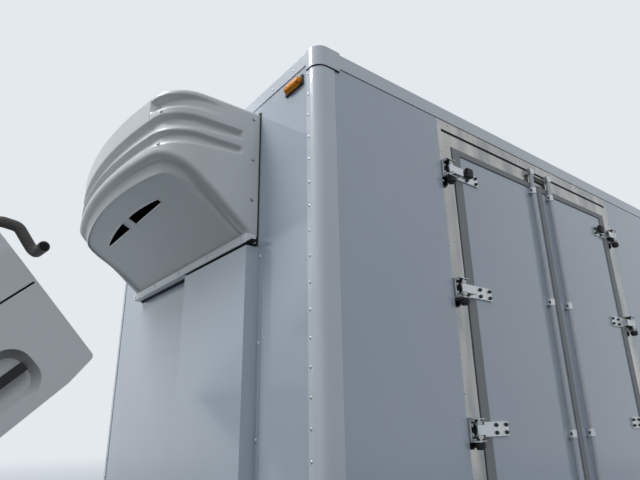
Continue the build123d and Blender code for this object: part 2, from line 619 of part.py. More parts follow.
# Chassis
def chassis_frame():
    """Two channel rails joined by cross members, with the bearers that carry the box floor."""
    y = (FRAME_FRONT, box_rear - 20)
    rail = block((RAIL_OUTER - RAIL_FLANGE, RAIL_OUTER), y, (FRAME_BOTTOM, FRAME_TOP))
    web_z = (FRAME_BOTTOM + RAIL_WEB, FRAME_TOP - RAIL_WEB)
    rail -= block((RAIL_OUTER - RAIL_FLANGE, RAIL_OUTER - RAIL_WEB), y, web_z)
    frame = both(rail)
    for place in CROSS_MEMBER_PLACES:
        frame += block((-RAIL_OUTER + RAIL_WEB, RAIL_OUTER - RAIL_WEB), (place - 30, place + 30), web_z)
    frame += rod("x", (0, CAB_PIVOT_Y, CAB_PIVOT_Z), PIVOT_TUBE_RADIUS, 920)
    bearer_y = (box_front + 40, box_rear - 20)
    frame += both(block((RAIL_OUTER - RAIL_FLANGE, RAIL_OUTER), bearer_y, (FRAME_TOP, BOX_FLOOR_BOTTOM)))
    stay_y, stay_z = STAY_FOOT
    pin_x = (RAIL_OUTER, STAY_X[1] + 12)
    frame += block((RAIL_OUTER, RAIL_OUTER + 12), (stay_y - 25, stay_y + 25), (stay_z - 60, stay_z + 20))
    frame += rod("x", (sum(pin_x) / 2, stay_y, stay_z), STAY_PIN_RADIUS, pin_x[1] - pin_x[0])
    nodes["chassis_frame"] = frame
    engine = block((-ENGINE_HALF, ENGINE_HALF), ENGINE_Y, ENGINE_Z)
    mount_x = (ENGINE_HALF - 10, RAIL_OUTER - RAIL_WEB - SEAT_GAP)
    mount_z = FRAME_BOTTOM + RAIL_WEB + SEAT_GAP
    for y in ENGINE_MOUNTS:
        engine += both(block(mount_x, (y - 30, y + 30), (mount_z, mount_z + 30)))
    nodes["engine_block"] = engine
    shaft_end = rear_axle_y - AXLE_BOWL_RADIUS - SEAT_GAP
    shaft = rod("y", (0, (shaft_end + SHAFT_START) / 2, TYRE_RADIUS), SHAFT_RADIUS, shaft_end - SHAFT_START)
    gearbox = block((-GEARBOX_HALF, GEARBOX_HALF), GEARBOX_Y, GEARBOX_Z)
    nodes["driveline"] = shaft + gearbox


def leaf_spring(y, axle_z, x):
    """A leaf spring with its hangers: leaves that shorten downwards under the rail."""
    spring = Part()
    wide = (x - SPRING_WIDTH / 2, x + SPRING_WIDTH / 2)
    low = axle_z + SPRING_SEAT
    for share in SPRING_SHARES:
        reach = share * SPRING_LENGTH / 2
        spring += block(wide, (y - reach, y + reach), (low, low + SPRING_LEAF))
        low += SPRING_LEAF
    hanger = SPRING_LENGTH / 2 - SPRING_EYE
    for end in (y - hanger, y + hanger):
        spring += block(wide, (end - SPRING_EYE, end + SPRING_EYE), (low - SPRING_LEAF, FRAME_BOTTOM))
    return spring


def axles():
    """Front beam with its kingpin eyes and rear axle with its housing, both on leaf springs."""
    z = TYRE_RADIUS
    beam = block((-KINGPIN_X + 30, KINGPIN_X - 30), (FRONT_AXLE_Y - 35, FRONT_AXLE_Y + 35), (z - 42, z + 24))
    for x in (-KINGPIN_X, KINGPIN_X):
        beam += rod("z", (x, FRONT_AXLE_Y, z - 2), 36, 80)
        beam -= rod("z", (x, FRONT_AXLE_Y, z), KINGPIN_RADIUS + PIN_CLEARANCE, 200)
    seat_x = (SPRING_X - 40, SPRING_X + 40)
    beam += both(block(seat_x, (FRONT_AXLE_Y - 60, FRONT_AXLE_Y + 60), (z + 24, z + SPRING_SEAT)))
    nodes["front_axle"] = beam + both(leaf_spring(FRONT_AXLE_Y, z, SPRING_X))
    tube_end = REAR_WHEEL_CENTRES[0] - 120
    stub_end = REAR_WHEEL_CENTRES[0] + 40
    stub = ((stub_end, REAR_STUB_RADIUS), (tube_end, REAR_STUB_RADIUS))
    half = (*stub, (tube_end, 45), (175, 58), (105, AXLE_BOWL_RADIUS))
    outline = [(-stub_end, 0), *[(-x, r) for x, r in half], *reversed(half), (stub_end, 0)]
    rear = Pos(0, rear_axle_y, z) * revolve(Plane.XZ * make_face(Polyline(*outline, close=True)), Axis.X)
    rear += both(block(seat_x, (rear_axle_y - 60, rear_axle_y + 60), (z + 20, z + SPRING_SEAT)))
    nodes["rear_axle"] = rear + both(leaf_spring(rear_axle_y, z, SPRING_X))


def knuckle():
    """Left steering knuckle: a yoke round the axle eye, the kingpin and the wheel spindle."""
    z = TYRE_RADIUS
    x = KINGPIN_X
    yoke = block((x - 34, x + 62), (FRONT_AXLE_Y - 34, FRONT_AXLE_Y + 34), (z - 78, z + 74))
    yoke -= block((x - 40, x + 42), (FRONT_AXLE_Y - 60, FRONT_AXLE_Y + 60), (z - 47, z + 43))
    yoke += rod("z", (x, FRONT_AXLE_Y, z - 2), KINGPIN_RADIUS, 150)
    spindle = (x + 60, FRONT_TRACK_HALF + 10)
    yoke += rod("x", (sum(spindle) / 2, FRONT_AXLE_Y, z), SPINDLE_RADIUS, spindle[1] - spindle[0])
    return yoke


def tyre(centre_x, y):
    """A tyre: a hollow ring with round shoulders, closed by its rim."""
    half = TYRE_WIDTH / 2
    bead = RIM_WIDTH / 2 - RIM_FLANGE / 2 - SEAT_GAP
    belly = RIM_RADIUS + 80
    bead_z = RIM_RADIUS + 20
    tread_z = TYRE_RADIUS - TYRE_TREAD
    outside = ((bead, RIM_RADIUS - 20), (bead, bead_z), (half, belly), (half - 10, TYRE_RADIUS))
    inside = ((bead - TYRE_WALL, RIM_RADIUS - 40), (bead - TYRE_WALL, bead_z), (half - TYRE_WALL, belly),
              (half - 22, tread_z))
    full, hollow = [(*side, *[(-x, z) for x, z in reversed(side)]) for side in (outside, inside)]
    ring = revolve(Plane.XZ * (rounded(full, 8) - rounded(hollow, 8)), Axis.X)
    ring -= rod("x", (0, 0, 0), RIM_RADIUS + SEAT_GAP, 2 * TYRE_WIDTH)
    return Pos(centre_x, y, TYRE_RADIUS) * ring


def rim(centre_x, y, dish, bore):
    """A steel disc wheel whose dished disc stands at the offset given, with hand holes round it."""
    half = RIM_WIDTH / 2
    inner = RIM_RADIUS - 7
    barrel = rod("x", (0, 0, 0), RIM_RADIUS, RIM_WIDTH) - rod("x", (0, 0, 0), inner, RIM_WIDTH)
    for end in (-half, half):
        flange = rod("x", (end, 0, 0), RIM_RADIUS + 9, RIM_FLANGE)
        barrel += flange - rod("x", (end, 0, 0), inner, RIM_FLANGE)
    disc = rod("x", (dish, 0, 0), RIM_RADIUS - 5, 10) - rod("x", (dish, 0, 0), bore, 10)
    hole = rod("x", (dish, 0, HAND_HOLE_CIRCLE), HAND_HOLE_RADIUS, 12)
    for place in range(HAND_HOLES):
        disc -= Rot(place * 360 / HAND_HOLES, 0, 0) * hole
    return Pos(centre_x, y, TYRE_RADIUS) * (barrel + disc)


def wheels():
    """Front wheels on their knuckles and twin rear wheels."""
    left_knuckle = knuckle()
    x = FRONT_TRACK_HALF
    hub = rod("x", (x - 5, FRONT_AXLE_Y, TYRE_RADIUS), FRONT_HUB_RADIUS, 80)
    hub -= rod("x", (x - 20, FRONT_AXLE_Y, TYRE_RADIUS), SPINDLE_RADIUS + PIN_CLEARANCE, 64)
    front_rim = rim(x, FRONT_AXLE_Y, 20, FRONT_HUB_RADIUS - 2) + hub
    front_tyre = tyre(x, FRONT_AXLE_Y)
    inner, outer = REAR_WHEEL_CENTRES
    rear_hub = rod("x", ((inner + outer) / 2, rear_axle_y, TYRE_RADIUS), REAR_HUB_RADIUS, outer - inner + 90)
    rear_hub -= rod("x", (inner - 40, rear_axle_y, TYRE_RADIUS), REAR_STUB_RADIUS + PIN_CLEARANCE, 170)
    bore = REAR_HUB_RADIUS - 2
    rear_rim = rim(inner, rear_axle_y, 60, bore) + rim(outer, rear_axle_y, -60, bore) + rear_hub
    rear_tyres = tyre(inner, rear_axle_y) + tyre(outer, rear_axle_y)
    for side, flip in (("left", False), ("right", True)):
        for name, solid in (("knuckle", left_knuckle), ("rim_front", front_rim), ("tyre_front", front_tyre),
                            ("rim_rear", rear_rim), ("tyre_rear", rear_tyres)):
            nodes["%s_%s" % (name, side)] = mirror(solid, Plane.YZ) if flip else solid


def arch(y, radius, thickness, x, angles):
    """A mudguard: a strip of a ring over the wheel between two angles from the forward level line."""
    ring = rod("x", ((x[0] + x[1]) / 2, y, TYRE_RADIUS), radius + thickness, x[1] - x[0])
    ring -= rod("x", ((x[0] + x[1]) / 2, y, TYRE_RADIUS), radius, x[1] - x[0])
    reach = 2 * radius
    low, high = angles
    turns = [radians(angle) for angle in (low, (low + high) / 2, high)]
    ends = [(-reach * cos(turn), reach * sin(turn)) for turn in turns]
    wedge = make_face(Polyline((0, 0), *ends, close=True))
    return ring & side_plate(Pos(y, TYRE_RADIUS) * wedge, x)


def chassis_fittings():
    """Mudguards, tank, battery box, side guards, bumper, underrun bar and tail lamps."""
    front = arch(FRONT_AXLE_Y, FRONT_ARCH_RADIUS, ARCH_SHEET, (600, 945), (40, 140))
    arm_y = (FRONT_AXLE_Y - 25, FRONT_AXLE_Y + 25)
    for x, z in (((RAIL_OUTER, 530), (688, 720)), ((505, 530), (688, 838)), ((505, 640), (808, 838)),
                 ((610, 640), (808, TYRE_RADIUS + FRONT_ARCH_RADIUS + ARCH_SHEET / 2))):
        front += block(x, arm_y, z)
    rear = arch(rear_axle_y, REAR_ARCH_RADIUS, ARCH_SHEET, (560, 1005), (35, 145))
    hanger_z = (TYRE_RADIUS + REAR_ARCH_RADIUS, BOX_FLOOR_BOTTOM)
    rear += block((RAIL_OUTER, 1005), (rear_axle_y - 20, rear_axle_y + 20), hanger_z)
    nodes["mudguards"] = both(front + rear)
    tank = block(TANK_X, TANK_Y, TANK_Z)
    tank = fillet(tank.edges().filter_by(Axis.Y), TANK_ROUNDING)
    for y in TANK_STRAPS:
        tank += block((RAIL_OUTER, RAIL_OUTER + 60), (y - 25, y + 25), (FRAME_BOTTOM, TANK_Z[1] - 10))
    nodes["fuel_tank"] = mirror(tank, Plane.YZ)
    nodes["battery_box"] = block((RAIL_OUTER, BATTERY_X_END), BATTERY_Y, BATTERY_Z)
    nodes["side_guards"] = both(side_guard())
    nodes["front_bumper"] = front_bumper()
    under_y = (box_rear - 80, box_rear - 20)
    under = block((-UNDERRUN_HALF, UNDERRUN_HALF), under_y, UNDERRUN_Z)
    under += both(block((RAIL_OUTER - RAIL_FLANGE, RAIL_OUTER), under_y, (UNDERRUN_Z[1], FRAME_BOTTOM)))
    under += block((-60, 60), (box_rear - 60, box_rear + 45), (480, 500))
    under -= rod("z", (0, box_rear + 15, 490), TOW_EYE_RADIUS, 40)
    nodes["rear_underrun"] = under
    lamp = block(TAIL_LAMP_X, (box_rear - 60, box_rear - 10), TAIL_LAMP_Z)
    arm = block((RAIL_OUTER, TAIL_LAMP_X[0]), (box_rear - 50, box_rear - 30), (670, 710))
    nodes["tail_lamps"] = both(lamp + arm)


def side_guard():
    """Left guard between the axles: two long bars on posts that hang from the frame."""
    guard = Part()
    inner_x = GUARD_BAR_X[0]
    for z in GUARD_BARS:
        guard += block(GUARD_BAR_X, GUARD_BAR_Y, (z - 40, z + 40))
    for y in GUARD_POSTS:
        span = (y - 20, y + 20)
        guard += block((RAIL_OUTER, inner_x), span, (730, 770))
        guard += block((inner_x - 40, inner_x), span, (390, 770))
    return guard


def front_bumper():
    """Bent sheet bumper on its arms, with a towing eye behind it on the left."""
    front, rear = BUMPER_Y
    bottom, top = BUMPER_Z
    inner_half = BUMPER_HALF - BUMPER_SHEET
    bumper = block((-BUMPER_HALF, BUMPER_HALF), BUMPER_Y, BUMPER_Z)
    bumper = fillet(bumper.edges().filter_by(Axis.Z).group_by(Axis.Y)[0], BUMPER_CORNER)
    hollow = block((-inner_half, inner_half), (front + BUMPER_SHEET, rear + 50), (bottom - 40, top + 40))
    bumper -= fillet(hollow.edges().filter_by(Axis.Z).group_by(Axis.Y)[0], BUMPER_CORNER - BUMPER_SHEET)
    arm_x = (RAIL_OUTER - RAIL_FLANGE, RAIL_OUTER)
    bumper += both(block(arm_x, (front + 15, FRAME_FRONT + 60), (bottom, bottom + 45)))
    bumper += both(block(arm_x, (FRAME_FRONT, FRAME_FRONT + 60), (bottom, FRAME_BOTTOM)))
    eye = (RAIL_OUTER - RAIL_FLANGE / 2, front + 100, bottom - 15)
    bumper += rod("x", eye, 30, 20)
    bumper += block((eye[0] - 10, eye[0] + 10), (eye[1] - 30, eye[1] + 30), (eye[2], bottom + 5))
    return bumper - rod("x", eye, TOW_EYE_RADIUS, 40)


# Cab
def cab_form(inset):
    """The cab's rounded outer form, or the same form set in by a wall: three outlines crossed."""
    front = -CAB_LENGTH
    rear_low = (0, CAB_LOWER_EDGE + CAB_REAR_RISE)
    rear_and_roof = (rear_low, (CAB_REAR_LEAN, 1310), (CAB_REAR_LEAN, CAB_ROOF - 20), (-1150, CAB_ROOF))
    nose = ((-1530, 1290), (front, 1190), (front, CAB_FRONT_BOTTOM), (-1500, CAB_STEP_BOTTOM))
    underside = ((-1060, CAB_STEP_BOTTOM), (-980, CAB_LOWER_EDGE), (-80, CAB_LOWER_EDGE))
    side = (*rear_and_roof, *nose, *underside)
    half_roof = half_cab - CAB_SIDE_LEAN
    half_face = ((half_cab, CAB_STEP_BOTTOM - 50), (half_cab, CAB_BELT), (half_roof, CAB_ROOF))
    face_x = (*half_face, *[(-x, z) for x, z in reversed(half_face)])
    wide = half_cab + CAB_PLAN_EASE
    rear = CAB_REAR_LEAN + CAB_PLAN_EASE
    long = front - CAB_PLAN_EASE
    plan_rear = ((wide, rear), (-wide, rear))
    plan = (*plan_rear, (-wide, long + 130), (-wide + 160, long), (wide - 160, long), (wide, long + 130))
    tight = inset + CAB_TIGHT
    outlines = [rounded(side, inset + 34, (rear_low,), tight), rounded(face_x, inset + 60)]
    outlines.append(rounded(plan, inset + 50, plan_rear, tight))
    if inset:
        outlines = [offset(outline, -inset) for outline in outlines]
    form = side_plate(outlines[0], (-half_cab - 50, half_cab + 50))
    form &= front_plate(outlines[1], (2 * front, 100))
    return form & level_plate(outlines[2], (0, 2 * CAB_ROOF))


def door_outline(grow):
    """The cab door seen from the side, over the wheel arch and under the sloping pillar."""
    lower = ((CAB_DOOR_FRONT, 530), (-1135, 530), (-1060, 1020), (CAB_DOOR_REAR, 1020))
    upper = ((CAB_DOOR_REAR, 2020), (-1060, 2020), (CAB_DOOR_FRONT, 1380))
    face = rounded((*lower, *upper), 30)
    return offset(face, grow) if grow else face


def cab_parts():
    """Shell, glass, doors, interior and fittings of the cab, lowered; the caller tilts them."""
    outer = cab_form(0)
    inner = cab_form(CAB_WALL)
    front = -CAB_LENGTH
    tunnel_x = (-CAB_TUNNEL_HALF, CAB_TUNNEL_HALF)
    tunnel = block(tunnel_x, (front + CAB_WALL + 5, 200), (0, CAB_TUNNEL_TOP))
    tunnel += block(tunnel_x, (front - 10, front + 100), (0, CAB_FRONT_BOTTOM))
    over_half = CAB_TUNNEL_HALF + CAB_WALL
    over = block((-over_half, over_half), (2 * front, 200), (0, CAB_TUNNEL_TOP + CAB_WALL))
    shell = outer - tunnel - (inner - over)
    screen_cut = front_plate(rounded(WINDSCREEN, 60), (-1700, -1120))
    rear_cut = front_plate(rounded(REAR_WINDOW, 60), (-120, 100))
    window_cut = side_plate(rounded(SIDE_WINDOW, 40), (CAB_TUNNEL_HALF, half_cab + 10))
    pane = cab_form(GLASS_DEPTH) - cab_form(GLASS_DEPTH + GLASS_THICKNESS)
    door_x = (half_cab - DOOR_CUT_DEPTH, half_cab + 10)
    door_cut = side_plate(door_outline(DOOR_GAP), door_x)
    door = outer & side_plate(door_outline(0), door_x)
    door = door - inner - window_cut
    pin = (half_cab - CAB_PIN_DEPTH, CAB_DOOR_FRONT + CAB_PIN_SETBACK)
    hinges = Part()
    for z in CAB_HINGE_HEIGHTS:
        hinges += block((pin[0] - 10, pin[0] + 4), (CAB_DOOR_FRONT - 16, pin[1] + 6), (z - 8, z + 8))
        hinges += rod("z", (*pin, z), CAB_PIN_RADIUS, 60)
        door -= block((pin[0] - 17, half_cab + 5), (CAB_DOOR_FRONT - 5, pin[1] + 13), (z - 13, z + 13))
        door -= rod("z", (*pin, z), CAB_PIN_RADIUS + PIN_CLEARANCE, 66)
    hinge_relief = block(door_x, (CAB_DOOR_FRONT - 8, CAB_DOOR_FRONT + 20), (520, 1400))
    shell = shell - screen_cut - rear_cut - both(door_cut) - both(hinge_relief) + both(hinges)
    (rear, low), (ahead, top) = GRIP_RECESS
    recess_outline = rounded([(rear, low), (ahead, low), (ahead, top), (rear, top)], 50)
    side_face = Plane.YZ.offset(half_cab)
    recess = extrude(side_face * recess_outline, GRIP_DEPTH, dir=(-1, 0, 0), taper=GRIP_TAPER)
    seam_y = (CAB_DOOR_REAR - DOOR_GAP - 5, CAB_REAR_LEAN - 12)
    seam_z = (SEAM_HEIGHT - SEAM_WIDTH / 2, SEAM_HEIGHT + SEAM_WIDTH / 2)
    seam = block((half_cab - SEAM_DEPTH, half_cab + 5), seam_y, seam_z)
    shell -= both(recess + seam)
    lug_y = (CAB_PIVOT_Y - 40, CAB_PIVOT_Y + 40)
    for x in (-440, 440):
        lug = block((x - 14, x + 14), lug_y, (CAB_PIVOT_Z, CAB_TUNNEL_TOP + 5))
        lug += rod("x", (x, CAB_PIVOT_Y, CAB_PIVOT_Z), 42, 28)
        shell += lug
    shell -= rod("x", (0, CAB_PIVOT_Y, CAB_PIVOT_Z), PIVOT_TUBE_RADIUS + PIN_CLEARANCE, 1000)
    for x in ((STAY_X[0] - 14, STAY_X[0] - 4), (STAY_X[1] + 4, STAY_X[1] + 14)):
        y, z = STAY_HEAD
        shell += block(x, (y - 26, y + 26), (z - 26, CAB_LOWER_EDGE + 5))
    nodes["cab_shell"] = shell
    nodes["cab_glass"] = (pane & screen_cut) + (pane & rear_cut)
    (rear, low), (ahead, top) = GRIP_BAR
    foot_x = half_cab - GRIP_DEPTH + SEAT_GAP
    grip = block((half_cab - 24, half_cab - 4), (rear, ahead), (low, top))
    for end in (rear + 22, ahead - 22):
        grip += block((foot_x, half_cab - 14), (end - 10, end + 10), (low + 2, top - 2))
    nodes["cab_grips"] = both(grip)
    handle = block((half_cab - 2, half_cab + 24), (-560, -440), (1180, 1212))
    handle -= block((half_cab - 2, half_cab + 12), (-545, -455), (1170, 1222))
    glass = pane & window_cut
    for name, solid in (("door", door + handle), ("door_glass", glass)):
        nodes["cab_%s_left" % name] = solid
        nodes["cab_%s_right" % name] = mirror(solid, Plane.YZ)
    seat_z = CAB_LOWER_EDGE + CAB_WALL + SEAT_GAP
    seat = block(SEAT_X, (-760, -190), (seat_z, 1170)) + block(SEAT_X, (-250, -90), (1170, 1760))
    nodes["cab_seats"] = fillet(both(seat).edges().filter_by(Axis.X), 40)
    dash_outline = rounded(((-1600, 1000), (-1190, 1000), (-1150, 1230), (-1300, 1320), (-1600, 1300)), 25)
    dash = side_plate(dash_outline, (-830, 830)) - both(door_cut)
    wheel = Torus(185, 14) + Cylinder(40, 30) + Box(360, 26, 12) + Box(26, 360, 12)
    wheel += Pos(0, 0, -90) * Cylinder(24, 180)
    wheel = Pos(*STEERING_WHEEL) * Rot(-35, 0, 0) * wheel
    nodes["cab_dash"] = (dash & cab_form(CAB_WALL + SEAT_GAP)) + wheel
    mirrors = block((1035, 1125), (-1475, -1425), MIRROR_HEIGHTS)
    mirrors = fillet(mirrors.edges().filter_by(Axis.Y), 20)
    mirrors += block((half_cab + SEAT_GAP, 1045), (-1462, -1440), (1230, 1256))
    mirrors += rod("z", (1032, -1451, 1430), 11, 400)
    nodes["cab_mirrors"] = both(mirrors)
    nodes["cab_grille"] = block((-600, 600), (-CAB_LENGTH - 22, -CAB_LENGTH - SEAT_GAP), (960, 1120))
    lamp = block(HEADLAMP_X, (-CAB_LENGTH - 20, -CAB_LENGTH + 110), HEADLAMP_Z)
    nodes["headlamps"] = both(lamp - cab_form(0))
    route = FilletPolyline(*TUBE_ROUTE, radius=TUBE_BEND)
    section = Plane(origin=route @ 0, z_dir=route % 0) * Circle(TUBE_RADIUS)
    nodes["cab_rear_tube"] = sweep(section, path=route)


def cab_stay():
    """Prop of the tilted cab: a strut on its frame pin, whose head reaches the bracket under the cab."""
    head = Vector(0, STAY_HEAD[0] - CAB_PIVOT_Y, STAY_HEAD[1] - CAB_PIVOT_Z).rotate(Axis.X, CAB_TILT)
    head = head + Vector(0, CAB_PIVOT_Y, CAB_PIVOT_Z)
    foot = Vector(0, *STAY_FOOT)
    way = head - foot
    angle = degrees(atan2(way.Z, way.Y))
    middle_x = sum(STAY_X) / 2
    thick = STAY_X[1] - STAY_X[0]
    strut = block(STAY_X, (20, way.length - 10), (-15, 15))
    strut += rod("x", (middle_x, 0, 0), 24, thick) + rod("x", (middle_x, way.length, 0), 18, thick)
    strut -= rod("x", (middle_x, 0, 0), STAY_PIN_RADIUS + PIN_CLEARANCE, 2 * thick)
    strut -= block((STAY_X[0] + 6, STAY_X[1] - 6), (80, way.length - 80), (-9, 20))
    nodes["cab_stay"] = Pos(0, *STAY_FOOT) * Rot(angle, 0, 0) * strut
    print("stay angle", angle, "length", way.length)


box_panels()
box_trim()
side_doors()
rear_doors()
refrigeration_unit()
pipe_cover()
box_fittings()
chassis_frame()
axles()
wheels()
chassis_fittings()
cab_stay()
chassis_nodes = set(nodes)
cab_parts()
for name in nodes:
    if name not in chassis_nodes:
        nodes[name] = tilted(nodes[name])

low = min(solid.bounding_box().min.Y for solid in nodes.values())
high = max(solid.bounding_box().max.Y for solid in nodes.values())
centre_y = (low + high) / 2
print("centre_y", centre_y)
for name, solid in nodes.items():
    export_step(Pos(0, -centre_y, 0) * solid, "parts/%s.step" % name)
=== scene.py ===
# %% [markdown]
# # A refrigerated truck with its cab tilted
# The truck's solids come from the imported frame, in metres: +Z is up, the front faces -Y and the truck's
# left is +X. This lesson dresses them. It gives each solid the finish of the real piece and adds the pieces
# that are too fine for the solids, such as screws, seals, tread and the moulded skin of the cooling unit.

# %% Load the frame and keep its box
import math
from collections import namedtuple

import bmesh
import bpy
import numpy as np
from mathutils import Matrix, Vector


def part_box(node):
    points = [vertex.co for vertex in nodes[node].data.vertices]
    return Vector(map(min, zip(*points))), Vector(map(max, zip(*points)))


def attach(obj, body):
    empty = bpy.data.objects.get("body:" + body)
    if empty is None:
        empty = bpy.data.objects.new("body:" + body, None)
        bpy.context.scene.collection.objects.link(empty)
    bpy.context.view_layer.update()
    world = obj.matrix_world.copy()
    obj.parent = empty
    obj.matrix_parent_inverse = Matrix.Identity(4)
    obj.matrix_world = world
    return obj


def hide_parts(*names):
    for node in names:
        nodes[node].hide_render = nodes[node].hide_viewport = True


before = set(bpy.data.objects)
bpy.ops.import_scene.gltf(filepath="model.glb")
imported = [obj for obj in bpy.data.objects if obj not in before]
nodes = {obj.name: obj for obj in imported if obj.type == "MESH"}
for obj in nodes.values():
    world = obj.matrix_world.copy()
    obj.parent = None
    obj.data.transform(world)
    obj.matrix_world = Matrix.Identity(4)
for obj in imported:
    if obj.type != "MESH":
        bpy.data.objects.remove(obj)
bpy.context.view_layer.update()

# %% [markdown]
# ## The camera
# The photograph looks up at the corner of the box from about a metre and a half away. Its vanishing points
# give the lens and the two angles, and the width of the box gives the distance. A camera is easiest to place
# by its three own directions: right, up and backwards, as the columns of its matrix.

# %% Places of the box walls, and the camera
FRONT_WALL_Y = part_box("box_front_wall")[0][1]
LEFT_WALL_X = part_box("box_left_wall")[1][0]
ROOF_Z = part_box("box_roof")[1][2]
CAMERA_OUT, CAMERA_AHEAD, CAMERA_HEIGHT = 1.245, 0.963, 1.607
FOCAL_PIXELS = 508.95
CAMERA_RIGHT = Vector((0.6078, 0.7939, -0.0147)).normalized()
CAMERA_UP = Vector((0.2677, -0.1875, 0.9451)).normalized()
SENSOR_WIDTH, IMAGE_WIDTH = 36.0, 640


def make_camera():
    """Camera from its right and up directions; the third column is their cross product, backwards."""
    lens = bpy.data.cameras.new("photo_camera")
    lens.sensor_width = SENSOR_WIDTH
    lens.lens = SENSOR_WIDTH * FOCAL_PIXELS / IMAGE_WIDTH
    camera = bpy.data.objects.new("photo_camera", lens)
    back = CAMERA_RIGHT.cross(CAMERA_UP).normalized()
    up = back.cross(CAMERA_RIGHT)
    turn = Matrix((CAMERA_RIGHT, up, back)).transposed().to_4x4()
    place = Vector((LEFT_WALL_X + CAMERA_OUT, FRONT_WALL_Y - CAMERA_AHEAD, CAMERA_HEIGHT))
    camera.matrix_world = Matrix.Translation(place) @ turn
    bpy.context.scene.collection.objects.link(camera)
    bpy.context.scene.camera = camera
    print("camera at", [round(value, 3) for value in place], "lens", round(lens.lens, 2))


make_camera()

# %% [markdown]
# ## Colours and shader nodes
# Colours are written as sRGB hex, as a paint chart gives them, and one function turns them to linear light.
# One more function adds a shader node, sets its values and links its sockets.

# %% Helpers for colour and for nodes


def linear(code):
    """sRGB hex to linear RGBA: below 0.04045 divide by 12.92, above it ((c + 0.055) / 1.055) ** 2.4."""
    levels = [int(code[i:i + 2], 16) / 255 for i in (1, 3, 5)]
    return [c / 12.92 if c <= 0.04045 else ((c + 0.055) / 1.055) ** 2.4 for c in levels] + [1.0]


def add(tree, kind, inputs=None, **settings):
    """Adds one node. A socket in inputs, by name or number, gets a value, or a link to a node's output."""
    node = tree.nodes.new(kind)
    for name, value in settings.items():
        setattr(node, name, value)
    for name, value in (inputs or {}).items():
        socket = node.inputs[name]
        if isinstance(value, bpy.types.NodeSocket):
            tree.links.new(value, socket)
        else:
            socket.default_value = value
    return node


print("grey of half the light:", [round(level, 3) for level in linear("#BCBCBC")])

# %% [markdown]
# ## One recipe for every finish
# No real surface is quite even. Paint drifts in colour, steel is smoother in one place than in another, and
# sheet is a little wavy. So each finish uses three fields of smooth noise: one moves the colour between two
# tones, one moves the roughness, and one is a height that tilts the surface. A field is told by its blots to
# the metre, how it is stretched along each axis, how much fine detail it holds, and whether it is noise or
# straight ribs. It reads the piece's own coordinates, in metres, so a blot keeps its real size everywhere.

# %% The recipe
NOISE, RIBS = "ShaderNodeTexNoise", "ShaderNodeTexWave"
Field = namedtuple("Field", "blots stretch detail kind", defaults=((1, 1, 1), 3.0, NOISE))
# Noise clusters round a half, so these two levels are stretched to the ends of the wanted span.
NOISE_LOW, NOISE_HIGH = 0.3, 0.7


def finish(name, colours, tint, rough, grain, relief, height, strength=1.0, share=(0.0, 1.0), shine=None):
    """A mottled surface. The tint field mixes the two colours, the grain field moves the roughness over its
    span, and the relief field times a height in metres tilts the surface. shine holds more sockets."""
    material = bpy.data.materials.new(name)
    material.use_nodes = True
    tree = material.node_tree
    tree.nodes.clear()
    place = add(tree, "ShaderNodeTexCoord").outputs["Object"]

    def pattern(field):
        """The field on the piece's own coordinates, from 0 to 1."""
        laid = add(tree, "ShaderNodeMapping", {"Vector": place, "Scale": field.stretch}).outputs["Vector"]
        facts = {"Vector": laid, "Scale": field.blots, "Detail": field.detail}
        return add(tree, field.kind, facts).outputs["Fac"]

    def spread(field, low, high):
        """The field's middle levels stretched from low to high."""
        span = {"Value": pattern(field), "From Min": NOISE_LOW, "From Max": NOISE_HIGH}
        return add(tree, "ShaderNodeMapRange", {**span, "To Min": low, "To Max": high}).outputs["Result"]

    first, second = (linear(code) for code in colours)
    mix = add(tree, "ShaderNodeMix", {0: spread(tint, *share), 6: first, 7: second}, data_type="RGBA")
    tilt = add(tree, "ShaderNodeBump", {"Height": pattern(relief), "Distance": height, "Strength": strength})
    sockets = {
        "Base Color": mix.outputs[2],
        "Roughness": spread(grain, *rough) if grain else rough,
        "Normal": tilt.outputs["Normal"],
    }
    shader = add(tree, "ShaderNodeBsdfPrincipled", {**sockets, **(shine or {})})
    add(tree, "ShaderNodeOutputMaterial", {"Surface": shader.outputs["BSDF"]})
    print("finish", name, colours)
    return material


# %% [markdown]
# ## Coated sheet and moulded shells
# The load box is made of sandwich panels whose skin is gel-coated white sheet. It is glossy and never quite
# flat, so long waves bend what it mirrors. The cooling unit is moulded glass fibre, duller and with a fine
# orange-peel skin. The cab is pressed steel under a solid white paint with a clear shine.

# %% White painted and moulded finishes


def glossy(name, base, shade, rough, waves, height, coat=0.35):
    """Coated skin: the colour drifts over half a metre; low waves, so many to the metre, tilt the skin."""
    coats = {"Coat Weight": coat, "Coat Roughness": 0.06}
    return finish(name, (base, shade), Field(1.6), (rough, rough + 0.05), Field(6.0),
                  Field(waves, detail=1.5), height, shine=coats)


# Gel-coated sandwich panel: white sheet, mirror-like, waves about 0.4 m long. Its colour is painted
# grey-blue, as painted shade and a painted reflection of a blue sky on the white.
PANEL = glossy("gelcoat_panel", "#B9C3CD", "#B4BFCA", 0.14, 2.4, 0.003)
# Painted aluminium edge section: the same white, crisper.
EDGE = glossy("painted_edge_section", "#D3D9DF", "#CBD2D9", 0.22, 3.0, 0.001)
# Moulded glass-fibre housing: neutral white with an orange-peel skin, drawn 80 mm wide so that it shows. Its
# white is painted down to a light grey, as painted shade.
HOUSING = glossy("moulded_housing", "#D6D8D7", "#CED1D0", 0.3, 12.0, 0.0004, 0.05)
# Lip and slot rims of the housing: the same moulding, smoother, and painted whiter as a painted highlight
# where their edges catch the light.
RIM_HIGHLIGHT = glossy("moulded_edge_painted_highlight", "#F0F2F3", "#E8EBEC", 0.2, 12.0, 0.0002, 0.1)
# Cab body paint: neutral solid white with a clear shine.
CAB_PAINT = glossy("solid_white_cab_paint", "#D6D9D9", "#D0D3D4", 0.15, 3.0, 0.002)
# Number plate blank: white enamel on thin sheet, with hardly a wave.
PLATE = glossy("blank_white_plate", "#E6E8EA", "#DDE0E2", 0.3, 20.0, 0.0001, 0.1)
